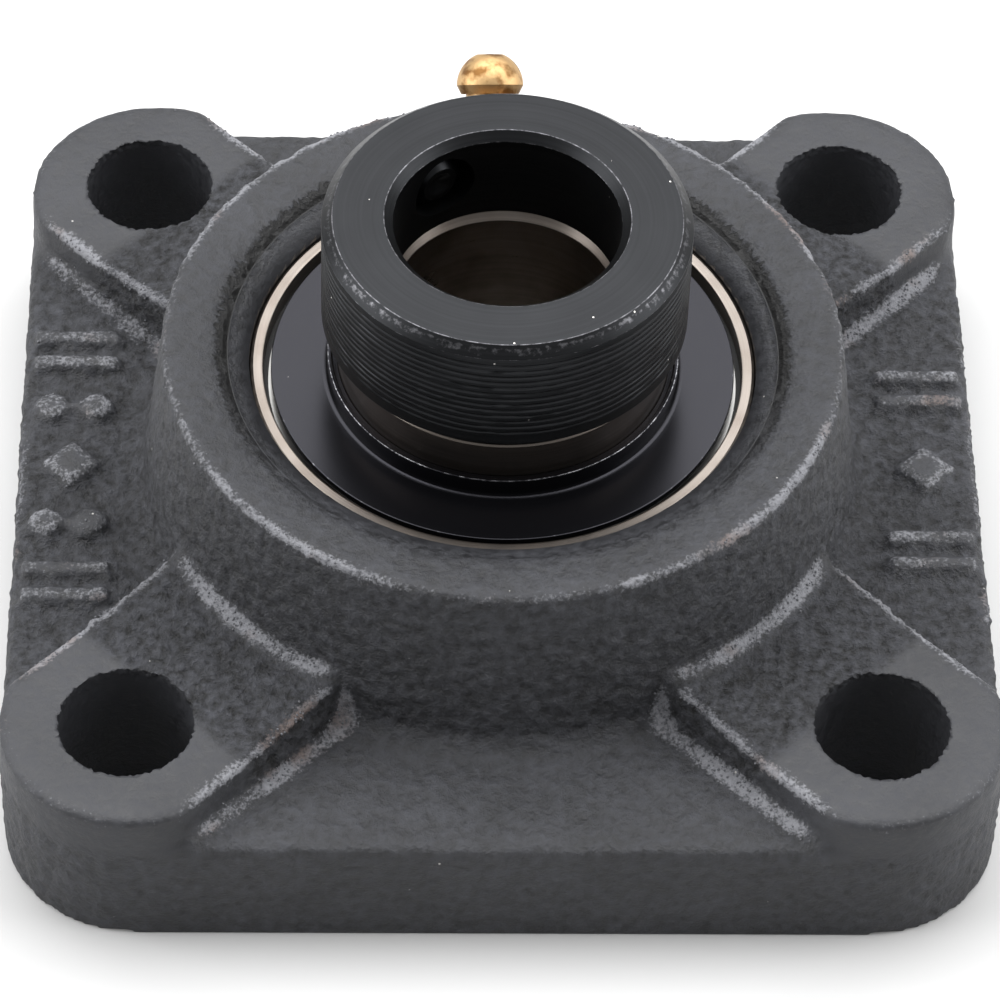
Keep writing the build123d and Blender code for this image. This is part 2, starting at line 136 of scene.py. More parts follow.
def smooth_step(values: np.ndarray, low: float, high: float) -> np.ndarray:
    """Rises smoothly from 0 at low to 1 at high."""
    share = np.clip((values - low) / (high - low), 0, 1)
    return share * share * (3 - 2 * share)


def new_object(name: str, mesh: bpy.types.Mesh) -> bpy.types.Object:
    """Puts a mesh in the scene as an object at the origin."""
    piece = bpy.data.objects.new(name, mesh)
    bpy.context.scene.collection.objects.link(piece)
    return piece


def settled(piece: bpy.types.Object) -> bpy.types.Object:
    """Replaces a piece's mesh with what its modifiers make of it, and removes them.

    Args:
        piece: The object with live modifiers.

    Returns:
        The same object with a plain mesh.
    """
    graph = bpy.context.evaluated_depsgraph_get()
    mesh = bpy.data.meshes.new_from_object(piece.evaluated_get(graph), depsgraph=graph)
    mesh.name = piece.name
    piece.modifiers.clear()
    piece.data = mesh
    return piece


def shade(piece: bpy.types.Object, sharp_angle: float = 32.0) -> None:
    """Shades a piece smooth, apart from edges that turn by more than an angle in degrees."""
    piece.data.shade_smooth()
    piece.data.set_sharp_from_angle(angle=math.radians(sharp_angle))


def dress(piece: bpy.types.Object, *finishes: bpy.types.Material) -> None:
    """Gives a piece its materials, first one first."""
    piece.data.materials.clear()
    for finish in finishes:
        piece.data.materials.append(finish)


def cut(piece: bpy.types.Object, cutter: bpy.types.Object) -> bpy.types.Object:
    """Takes a cutter out of a piece, and removes the cutter.

    Args:
        piece: The closed mesh that is cut.
        cutter: The closed mesh that is taken away.

    Returns:
        The piece, with a plain mesh.
    """
    tool = piece.modifiers.new("cut", "BOOLEAN")
    tool.operation = "DIFFERENCE"
    tool.solver = "MANIFOLD"
    tool.object = cutter
    settled(piece)
    bpy.data.objects.remove(cutter)
    return piece


# ---- Turned sections ----------------------------------------------------------------------


@dataclass(frozen=True)
class Corner:
    """A corner of a turned section: its place, its rounding, its offset from the axis and its wear."""

    radius: float
    height: float
    rounding: float = 0.0
    shift: tuple[float, float] = (0.0, 0.0)
    worn: float = 0.0


def section_points(corners: Sequence[Corner], steps: int = 4) -> list[Corner]:
    """Rounds a closed section's corners, with a support point close to each side of a corner.

    Args:
        corners: The section, anticlockwise with the radius to the right.
        steps: Straight runs in each rounded corner.

    Returns:
        The points of the finished section.
    """
    points = []
    for index, corner in enumerate(corners):
        here = Vector((corner.radius, corner.height))
        before, after = corners[index - 1], corners[(index + 1) % len(corners)]
        back = Vector((before.radius, before.height)) - here
        ahead = Vector((after.radius, after.height)) - here
        turn = back.angle(ahead, 0.0)
        room = 0.45 * min(back.length, ahead.length)
        if corner.rounding == 0 or turn > math.radians(178):
            points.append(corner)
            continue
        reach = min(corner.rounding / math.tan(turn / 2), room)
        start, end = here + back.normalized() * reach, here + ahead.normalized() * reach
        support = min(0.3 * reach, room - reach * 0.9)
        near = start + back.normalized() * support
        points.append(replace(corner, radius=near[0], height=near[1], worn=0.0))
        for step in range(steps + 1):
            share = step / steps
            bend = start.lerp(end, share).lerp(here, 2 * share * (1 - share) * CORNER_FULLNESS)
            points.append(replace(corner, radius=bend[0], height=bend[1]))
        near = end + ahead.normalized() * support
        points.append(replace(corner, radius=near[0], height=near[1], worn=0.0))
    return points


def turned(name: str, section: Sequence[Corner], lift: float = 0.0, segments: int = 192) -> bpy.types.Object:
    """Turns a closed section about Z.

    Args:
        name: The piece's name.
        section: The section's points, anticlockwise, none on the axis.
        lift: Height of the section's own zero over the frame's origin.
        segments: Flats round the axis.

    Returns:
        The turned piece.
    """
    angle = np.arange(segments) * 2 * math.pi / segments
    radius = np.array([c.radius for c in section])[:, None]
    shift = np.array([c.shift for c in section])
    across = radius * np.cos(angle) + shift[:, :1]
    along = radius * np.sin(angle) + shift[:, 1:]
    height = np.array([[c.height + lift] for c in section]) + 0 * angle
    places = np.stack([across, along, height], -1).reshape(-1, 3) * MM
    count = len(section)
    faces = []
    for i in range(count):
        low, high = i * segments, (i + 1) % count * segments
        for j in range(segments):
            k = (j + 1) % segments
            faces.append((low + j, low + k, high + k, high + j))
    mesh = bpy.data.meshes.new(name)
    mesh.from_pydata(places.tolist(), [], faces)
    worn = mesh.attributes.new("worn", "FLOAT", "POINT")
    worn.data.foreach_set("value", np.repeat([c.worn for c in section], segments).astype(np.float32))
    mesh.validate()
    return new_object(name, mesh)


def rod(name: str, radius: float, low: float, high: float, at: tuple[float, float] = (0, 0),
        segments: int = 96) -> bpy.types.Object:
    """A plain closed cylinder, used as a plug or a cutter.

    Args:
        name: The piece's name.
        radius: Its radius in millimetres.
        low: Height of its bottom.
        high: Height of its top.
        at: Where its axis stands.
        segments: Flats round it.

    Returns:
        The cylinder.
    """
    shape = bmesh.new()
    bmesh.ops.create_cone(shape, cap_ends=True, segments=segments, radius1=radius * MM, radius2=radius * MM,
                          depth=(high - low) * MM)
    bmesh.ops.translate(shape, vec=Vector((at[0], at[1], (low + high) / 2)) * MM, verts=shape.verts)
    mesh = bpy.data.meshes.new(name)
    shape.to_mesh(mesh)
    shape.free()
    return new_object(name, mesh)


# ---- Finishes -------------------------------------------------------------------------------


@dataclass(frozen=True)
class Finish:
    """A surface finish: what the material is called, its colour and how it shines."""

    name: str
    colour: str
    metallic: float
    roughness: float

    def material(self) -> bpy.types.Material:
        """Builds the material.

        Returns:
            A node material that ends in one shader.
        """
        made = bpy.data.materials.new(self.name)
        made.use_nodes = True
        tree = made.node_tree
        tree.nodes.clear()
        shader = add_node(tree, "ShaderNodeBsdfPrincipled", {
            "Base Color": linear(self.colour), "Metallic": self.metallic, "Roughness": self.roughness})
        where = add_node(tree, "ShaderNodeTexCoord").outputs["Object"]
        self.surface(tree, shader, where)
        add_node(tree, "ShaderNodeOutputMaterial", {"Surface": shader.outputs["BSDF"]})
        return made

    def surface(self, tree: bpy.types.NodeTree, shader: bpy.types.Node, where: bpy.types.NodeSocket) -> None:
        """Adds the surface's own detail; a plain finish has none."""


def speck_mask(tree: bpy.types.NodeTree, where: bpy.types.NodeSocket, spacing: float, size: float,
               share: float) -> bpy.types.NodeSocket:
    """Sparse round specks, such as dust and lint.

    Args:
        tree: The material's tree.
        where: Coordinates.
        spacing: Distance between places where a speck may lie.
        size: A speck's radius.
        share: Share of the places that hold one.

    Returns:
        1 on a speck and 0 elsewhere.
    """
    cells = add_node(tree, "ShaderNodeTexVoronoi", {"Vector": where, "Scale": per(spacing)})
    near = add_node(tree, "ShaderNodeMath", {0: cells.outputs["Distance"], 1: size / spacing},
                    operation="LESS_THAN")
    picked = add_node(tree, "ShaderNodeSeparateColor", {0: cells.outputs["Color"]})
    chosen = add_node(tree, "ShaderNodeMath", {0: picked.outputs[0], 1: share}, operation="LESS_THAN")
    both = add_node(tree, "ShaderNodeMath", {0: near.outputs[0], 1: chosen.outputs[0]}, operation="MULTIPLY")
    return both.outputs[0]


@dataclass(frozen=True)
class PaintedCasting(Finish):
    """Grey iron, sand cast and dip painted: a satin film over grain, rubbed pale on the edges."""

    worn_colour: str = "#77787d"
    rust_colour: str = "#5d4a40"
    # Near black for the painted shade along the step's torn edge.
    step_shade_colour: str = "#050506"
    grain: float = 0.9
    mottle: float = 9.0
    ring_radius: float = 24.3
    ring_height: float = 26.9
    ring_narrowest: float = 0.1
    ring_widest: float = 1.15
    tooth: float = 0.6
    rust_patch: float = 6.0
    relief_depth: float = 0.9

    def torn_ring_shade(self, tree: bpy.types.NodeTree, where: bpy.types.NodeSocket) -> bpy.types.NodeSocket:
        """Painted shade along the torn edge that the facing tool left outside its step, where the step's wall
        stands in shadow.

        Args:
            tree: The material's tree.
            where: Coordinates.

        Returns:
            1 on the ring and 0 elsewhere, fading towards the front.
        """
        parts = add_node(tree, "ShaderNodeSeparateXYZ", {0: where})
        flat = add_node(tree, "ShaderNodeCombineXYZ", {0: parts.outputs[0], 1: parts.outputs[1]})
        reach = add_node(tree, "ShaderNodeVectorMath", {0: flat.outputs[0]}, operation="LENGTH")
        around = add_node(tree, "ShaderNodeVectorMath", {0: flat.outputs[0]}, operation="NORMALIZE")
        rounded = add_node(tree, "ShaderNodeVectorMath", {
            0: around.outputs[0], "Scale": self.ring_radius * MM}, operation="SCALE")
        slanted = add_node(tree, "ShaderNodeVectorMath", {
            0: flat.outputs[0], "Scale": 0.25}, operation="SCALE")
        path = add_node(tree, "ShaderNodeVectorMath", {0: rounded.outputs[0], 1: slanted.outputs[0]},
                        operation="ADD")
        teeth = add_node(tree, "ShaderNodeTexNoise", {
            "Vector": path.outputs[0], "Scale": per(self.tooth), "Detail": 4.0, "Roughness": 0.75})
        limit = add_node(tree, "ShaderNodeMapRange", {
            "Value": teeth.outputs["Fac"], "From Min": 0.32, "From Max": 0.68,
            "To Min": self.ring_narrowest * MM, "To Max": self.ring_widest * MM})
        edge = add_node(tree, "ShaderNodeMath", {0: reach.outputs["Value"], 1: self.ring_radius * MM},
                        operation="SUBTRACT")
        gap = add_node(tree, "ShaderNodeMath", {0: limit.outputs[0], 1: edge.outputs[0]},
                       operation="SUBTRACT")
        outer = add_node(tree, "ShaderNodeMapRange", {"Value": gap.outputs[0], "From Min": -0.03 * MM,
                                                      "From Max": 0.04 * MM})
        inner = add_node(tree, "ShaderNodeMapRange", {"Value": edge.outputs[0], "From Min": -0.4 * MM,
                                                      "From Max": -0.3 * MM})
        high = add_node(tree, "ShaderNodeMath", {0: parts.outputs[2], 1: self.ring_height * MM},
                        operation="GREATER_THAN")
        # The painted shade fades out towards the front, where the step's wall faces away from view.
        behind = add_node(tree, "ShaderNodeMapRange", {"Value": parts.outputs[1], "From Min": -19 * MM,
                                                       "From Max": -2 * MM})
        mask = outer.outputs[0]
        for other in (inner, high, behind):
            both = add_node(tree, "ShaderNodeMath", {0: mask, 1: other.outputs[0]}, operation="MULTIPLY")
            mask = both.outputs[0]
        return mask

    def surface(self, tree: bpy.types.NodeTree, shader: bpy.types.Node, where: bpy.types.NodeSocket) -> None:
        """Adds mottling, painted shade in the sand's pits with painted light on its grains, rubbed edges,
        rust, dust, the painted shade of the step's torn edge and the sand grain's bump.
        """
        worn = add_node(tree, "ShaderNodeAttribute", attribute_name="worn").outputs["Fac"]
        coarse = add_node(tree, "ShaderNodeAttribute", attribute_name="grain").outputs["Fac"]
        cloud = add_node(tree, "ShaderNodeTexNoise", {
            "Vector": where, "Scale": per(self.mottle), "Detail": 4.0})
        film = add_node(tree, "ShaderNodeMapRange", {"Value": cloud.outputs["Fac"], "From Min": 0.3,
                                                     "From Max": 0.7, "To Min": 0.8, "To Max": 1.2})
        sand = add_node(tree, "ShaderNodeTexNoise", {"Vector": where, "Scale": per(self.grain), "Detail": 6.0,
                                                     "Roughness": 0.66})
        # Painted shade between the grains of a rough skin and painted light on their tops, drawn from the
        # same pattern as the bump.
        grain_shade = add_node(tree, "ShaderNodeMapRange", {"Value": sand.outputs["Fac"], "From Min": 0.36,
                                                       "From Max": 0.66, "To Min": 0.1, "To Max": 2.2})
        grain_shade_share = add_node(tree, "ShaderNodeMapRange", {"Value": coarse, "To Min": 0.16, "To Max": 1.0})
        tone = add_node(tree, "ShaderNodeMix", {"Factor": grain_shade_share.outputs[0], 2: 1.0, 3: grain_shade.outputs[0]},
                        data_type="FLOAT")
        both = add_node(tree, "ShaderNodeMath", {0: film.outputs[0], 1: tone.outputs[0]},
                        operation="MULTIPLY")
        colour = add_node(tree, "ShaderNodeMix", {"Factor": 1.0, 6: linear(self.colour), 7: both.outputs[0]},
                          data_type="RGBA", blend_type="MULTIPLY")
        grit = add_node(tree, "ShaderNodeTexNoise", {
            "Vector": where, "Scale": per(self.grain / 2.6), "Detail": 3.0, "Roughness": 0.7})
        level = add_node(tree, "ShaderNodeMath", {0: grit.outputs["Fac"], 1: 1.7, 2: worn},
                         operation="MULTIPLY_ADD")
        rubbed = add_node(tree, "ShaderNodeMapRange", {"Value": level.outputs[0], "From Min": 1.2,
                                                       "From Max": 1.62, "To Min": 0.0, "To Max": 1.0})
        patch = add_node(tree, "ShaderNodeTexNoise", {
            "Vector": where, "Scale": per(self.rust_patch), "Detail": 4.0})
        rusty = add_node(tree, "ShaderNodeMapRange", {"Value": patch.outputs["Fac"], "From Min": 0.54,
                                                      "From Max": 0.66, "To Min": 0.0, "To Max": 0.7})
        tint = add_node(tree, "ShaderNodeMix", {"Factor": rusty.outputs[0], 6: linear(self.worn_colour),
                                                7: linear(self.rust_colour)}, data_type="RGBA")
        pale = add_node(tree, "ShaderNodeMix", {"Factor": rubbed.outputs[0], 6: colour.outputs[2],
                                                7: tint.outputs[2]}, data_type="RGBA")
        # Painted shade: the step's torn edge is darkened to near black, most at the rear.
        torn_shade = self.torn_ring_shade(tree, where)
        step_shaded = add_node(tree, "ShaderNodeMix", {"Factor": torn_shade, 6: pale.outputs[2],
                                                7: linear(self.step_shade_colour)}, data_type="RGBA")
        dust = speck_mask(tree, where, spacing=2.8, size=0.1, share=0.25)
        dusty = add_node(tree, "ShaderNodeMix", {"Factor": dust, 6: step_shaded.outputs[2],
                                                 7: linear("#a9a7a4")}, data_type="RGBA")
        tree.links.new(dusty.outputs[2], shader.inputs["Base Color"])
        gloss = add_node(tree, "ShaderNodeMapRange", {"Value": sand.outputs["Fac"], "From Min": 0.3,
                                                      "From Max": 0.7, "To Min": self.roughness - 0.08,
                                                      "To Max": self.roughness + 0.2})
        tree.links.new(gloss.outputs[0], shader.inputs["Roughness"])
        strength = add_node(tree, "ShaderNodeMapRange", {"Value": coarse, "To Min": 0.14, "To Max": 1.0})
        bump = add_node(tree, "ShaderNodeBump", {
            "Strength": strength.outputs[0], "Distance": self.relief_depth * MM,
            "Height": sand.outputs["Fac"]})
        torn_bump = add_node(tree, "ShaderNodeBump", {"Strength": 1.0, "Distance": 0.3 * MM, "Height": torn_shade,
                                                      "Normal": bump.outputs[0]}, invert=True)
        tree.links.new(torn_bump.outputs[0], shader.inputs["Normal"])


@dataclass(frozen=True)
class TurnedSteel(Finish):
    """Steel that was turned or ground: fine marks round the axis, broken by handling."""

    mark: float = 0.12
    mark_depth: float = 0.004
    drift: float = 0.012
    contrast: float = 0.12
    streak: float = 0.06
    stain_colour: str = "#5b4a3c"
    stain: float = 0.0
    worn_colour: str = "#98989c"
    dust: float = 0.0

    def surface(self, tree: bpy.types.NodeTree, shader: bpy.types.Node, where: bpy.types.NodeSocket) -> None:
        """Adds marks that follow radius and height, a light stain, rubbed edges and dust."""
        parts = add_node(tree, "ShaderNodeSeparateXYZ", {0: where})
        flat = add_node(tree, "ShaderNodeCombineXYZ", {0: parts.outputs[0], 1: parts.outputs[1]})
        radius = add_node(tree, "ShaderNodeVectorMath", {0: flat.outputs[0]}, operation="LENGTH")
        # Radius and height hardly change along a tool's mark, so a stretched noise draws rings.
        ring = add_node(tree, "ShaderNodeCombineXYZ", {0: radius.outputs["Value"], 1: parts.outputs[2]})
        drift = add_node(tree, "ShaderNodeVectorMath", {0: where, 1: (self.drift, self.drift, 0.0)},
                         operation="MULTIPLY")
        path = add_node(tree, "ShaderNodeVectorMath", {0: ring.outputs[0], 1: drift.outputs[0]},
                        operation="ADD")
        marks = add_node(tree, "ShaderNodeTexNoise", {"Vector": path.outputs[0], "Scale": per(self.mark * 2),
                                                      "Detail": 2.0, "Roughness": 0.7})
        bump = add_node(tree, "ShaderNodeBump", {"Strength": 1.0, "Distance": self.mark_depth * MM,
                                                 "Height": marks.outputs["Fac"]})
        tree.links.new(bump.outputs[0], shader.inputs["Normal"])
        cloud = add_node(tree, "ShaderNodeTexNoise", {"Vector": where, "Scale": per(4.0), "Detail": 5.0})
        shine = add_node(tree, "ShaderNodeMath", {0: marks.outputs["Fac"], 1: cloud.outputs["Fac"]},
                         operation="ADD")
        gloss = add_node(tree, "ShaderNodeMapRange", {
            "Value": shine.outputs[0], "From Min": 0.6, "From Max": 1.4,
            "To Min": max(0.05, self.roughness - self.streak), "To Max": self.roughness + self.streak})
        tree.links.new(gloss.outputs[0], shader.inputs["Roughness"])
        spread = add_node(tree, "ShaderNodeMapRange", {"Value": cloud.outputs["Fac"], "From Min": 0.42,
                                                       "From Max": 0.72, "To Min": 0.0, "To Max": self.stain})
        tint = add_node(tree, "ShaderNodeMix", {"Factor": spread.outputs[0], 6: linear(self.colour),
                                                7: linear(self.stain_colour)}, data_type="RGBA")
        tone = add_node(tree, "ShaderNodeMapRange", {"Value": marks.outputs["Fac"], "From Min": 0.3,
                                                     "From Max": 0.7, "To Min": 1 - self.contrast,
                                                     "To Max": 1 + self.contrast})
        toned = add_node(tree, "ShaderNodeMix", {"Factor": 1.0, 6: tint.outputs[2], 7: tone.outputs[0]},
                         data_type="RGBA", blend_type="MULTIPLY")
        worn = add_node(tree, "ShaderNodeAttribute", attribute_name="worn").outputs["Fac"]
        chips = add_node(tree, "ShaderNodeTexNoise", {"Vector": where, "Scale": per(0.6), "Detail": 4.0,
                                                      "Roughness": 0.7})
        level = add_node(tree, "ShaderNodeMath", {0: chips.outputs["Fac"], 1: 1.6, 2: worn},
                         operation="MULTIPLY_ADD")
        rubbed = add_node(tree, "ShaderNodeMapRange", {"Value": level.outputs[0], "From Min": 1.2,
                                                       "From Max": 1.6})
        pale = add_node(tree, "ShaderNodeMix", {"Factor": rubbed.outputs[0], 6: toned.outputs[2],
                                                7: linear(self.worn_colour)}, data_type="RGBA")
        specks = speck_mask(tree, where, spacing=1.7, size=0.085, share=self.dust)
        dusty = add_node(tree, "ShaderNodeMix", {"Factor": specks, 6: pale.outputs[2],
                                                 7: linear("#c9c6c2")}, data_type="RGBA")
        tree.links.new(dusty.outputs[2], shader.inputs["Base Color"])


@dataclass(frozen=True)
class Brass(Finish):
    """Turned brass, tumbled: satin yellow with darker tarnish in blots."""

    tarnish_colour: str = "#7d5a34"
    blot: float = 1.3

    def surface(self, tree: bpy.types.NodeTree, shader: bpy.types.Node, where: bpy.types.NodeSocket) -> None:
        """Adds tarnish and the tumbled surface's small dents."""
        cloud = add_node(tree, "ShaderNodeTexNoise", {
            "Vector": where, "Scale": per(self.blot), "Detail": 4.0})
        share = add_node(tree, "ShaderNodeMapRange", {"Value": cloud.outputs["Fac"], "From Min": 0.46,
                                                      "From Max": 0.66})
        tint = add_node(tree, "ShaderNodeMix", {"Factor": share.outputs[0], 6: linear(self.colour),
                                                7: linear(self.tarnish_colour)}, data_type="RGBA")
        tree.links.new(tint.outputs[2], shader.inputs["Base Color"])
        dents = add_node(tree, "ShaderNodeTexNoise", {"Vector": where, "Scale": per(0.5), "Detail": 3.0})
        bump = add_node(tree, "ShaderNodeBump", {"Strength": 0.6, "Distance": 0.05 * MM,
                                                 "Height": dents.outputs["Fac"]})
        tree.links.new(bump.outputs[0], shader.inputs["Normal"])
        gloss = add_node(tree, "ShaderNodeMapRange", {"Value": dents.outputs["Fac"],
                                                      "To Min": self.roughness - 0.1,
                                                      "To Max": self.roughness + 0.12})
        tree.links.new(gloss.outputs[0], shader.inputs["Roughness"])


@dataclass(frozen=True)
class MouldedRubber(Finish):
    """Nitrile rubber from a spark-eroded mould: matt black with a fine even stipple."""

    stipple: float = 0.15

    def surface(self, tree: bpy.types.NodeTree, shader: bpy.types.Node, where: bpy.types.NodeSocket) -> None:
        """Adds the mould's stipple."""
        grain = add_node(tree, "ShaderNodeTexNoise", {
            "Vector": where, "Scale": per(self.stipple), "Detail": 2.0})
        bump = add_node(tree, "ShaderNodeBump", {"Strength": 0.5, "Distance": 0.02 * MM,
                                                 "Height": grain.outputs["Fac"]})
        tree.links.new(bump.outputs[0], shader.inputs["Normal"])


@dataclass(frozen=True)
class StudioPaint(Finish):
    """Matt emulsion on a studio floor: an even pale ground with a trace of roller texture."""

    def surface(self, tree: bpy.types.NodeTree, shader: bpy.types.Node, where: bpy.types.NodeSocket) -> None:
        """Adds the roller's faint texture."""
        roller = add_node(tree, "ShaderNodeTexNoise", {"Vector": where, "Scale": per(6.0)})
        bump = add_node(tree, "ShaderNodeBump", {"Strength": 0.05, "Distance": 0.2 * MM,
                                                 "Height": roller.outputs["Fac"]})
        tree.links.new(bump.outputs[0], shader.inputs["Normal"])


class Look(Enum):
    """The finishes on this unit."""

    CASTING = PaintedCasting("dip_painted_grey_iron", "#2a2b2f", 0.0, 0.52)
    BARE = Finish("bare_grey_iron_grains", "#5d5e62", 0.2, 0.55)
    BLACKENED = TurnedSteel("black_oxide_turned_steel", "#27282a", 0.9, 0.38, mark=0.2, mark_depth=0.005,
                            contrast=0.16, worn_colour="#6b6b6f", dust=0.3)
    FLINGER = TurnedSteel("phosphated_sheet_steel", "#252529", 0.85, 0.25, mark=0.1, mark_depth=0.0,
                          contrast=0.03, streak=0.01, dust=0.05)
    GROUND = TurnedSteel("ground_chrome_steel", "#7f7872", 1.0, 0.34, mark=0.1, mark_depth=0.002, stain=0.25)
    OILED = TurnedSteel("oiled_ground_steel", "#8f877f", 1.0, 0.32, mark=0.3, mark_depth=0.0, stain=0.5)
    BALLS = TurnedSteel("lapped_chrome_steel", "#cfcdca", 1.0, 0.08, mark=0.1, mark_depth=0.0, streak=0.02)
    SHEET = TurnedSteel("pressed_zinc_plated_steel", "#9b9a98", 1.0, 0.35, mark=0.3, mark_depth=0.003)
    WIRE = TurnedSteel("drawn_spring_steel", "#8d8a86", 1.0, 0.3, mark=0.1, mark_depth=0.002)
    BORED = TurnedSteel("bored_grey_iron", "#6b6a69", 0.9, 0.42, mark=0.25, mark_depth=0.01, stain=0.4)
    BRASS = Brass("tumbled_brass", "#c3a274", 1.0, 0.5)
    RUBBER = MouldedRubber("moulded_nitrile_rubber", "#141415", 0.0, 0.6)
    FLOOR = StudioPaint("matt_studio_emulsion", "#cacaca", 0.0, 0.9)


class Rack:
    """Keeps one material for each look."""

    def __init__(self) -> None:
        """Starts with none built."""
        self.built: dict[Look, bpy.types.Material] = {}

    def __getitem__(self, look: Look) -> bpy.types.Material:
        """The look's material, built when it is first asked for."""
        if look not in self.built:
            self.built[look] = look.value.material()
        return self.built[look]


# ---- Housing --------------------------------------------------------------------------------


@dataclass
class SurfaceNet:
    """A mesh's points, edges and normals as arrays, for smoothing and displacing."""

    mesh: bpy.types.Mesh
    points: np.ndarray = field(init=False)
    edges: np.ndarray = field(init=False)

    def __post_init__(self) -> None:
        """Reads the mesh."""
        self.points = np.empty(len(self.mesh.vertices) * 3)
        self.mesh.vertices.foreach_get("co", self.points)
        self.points = self.points.reshape(-1, 3)
        self.edges = np.empty(len(self.mesh.edges) * 2, np.int64)
        self.mesh.edges.foreach_get("vertices", self.edges)
        self.edges = self.edges.reshape(-1, 2)

    def mean(self, values: np.ndarray) -> np.ndarray:
        """The mean of each point's neighbours' values.

        Args:
            values: One row for each point.

        Returns:
            Rows of the same shape.
        """
        rows = values.reshape(len(values), -1)
        first, second = self.edges[:, 0], self.edges[:, 1]
        count = np.bincount(self.edges.ravel(), minlength=len(rows)).clip(1)
        total = np.stack([
            np.bincount(first, rows[second, k], len(rows)) + np.bincount(second, rows[first, k], len(rows))
            for k in range(rows.shape[1])], 1)
        return (total / count[:, None]).reshape(values.shape)

    def relax(self, passes: int, strength: np.ndarray) -> None:
        """Moves each point towards its neighbours' middle by its own share, a number of times."""
        for _ in range(passes):
            self.points += strength[:, None] * (self.mean(self.points) - self.points)

    def normals(self) -> np.ndarray:
        """The points' normals, from the mesh as it is written back."""
        self.write()
        out = np.empty(len(self.points) * 3)
        self.mesh.vertices.foreach_get("normal", out)
        return out.reshape(-1, 3)

    def bulge(self, normals: np.ndarray) -> np.ndarray:
        """How far each point stands out from its neighbours, in millimetres, less in hollows."""
        lift = np.einsum("ij,ij->i", self.points - self.mean(self.points), normals) / MM
        for _ in range(2):
            lift = (lift + self.mean(lift)) / 2
        return lift

    def write(self) -> None:
        """Writes the points back to the mesh."""
        self.mesh.vertices.foreach_set("co", self.points.ravel())
        self.mesh.update()


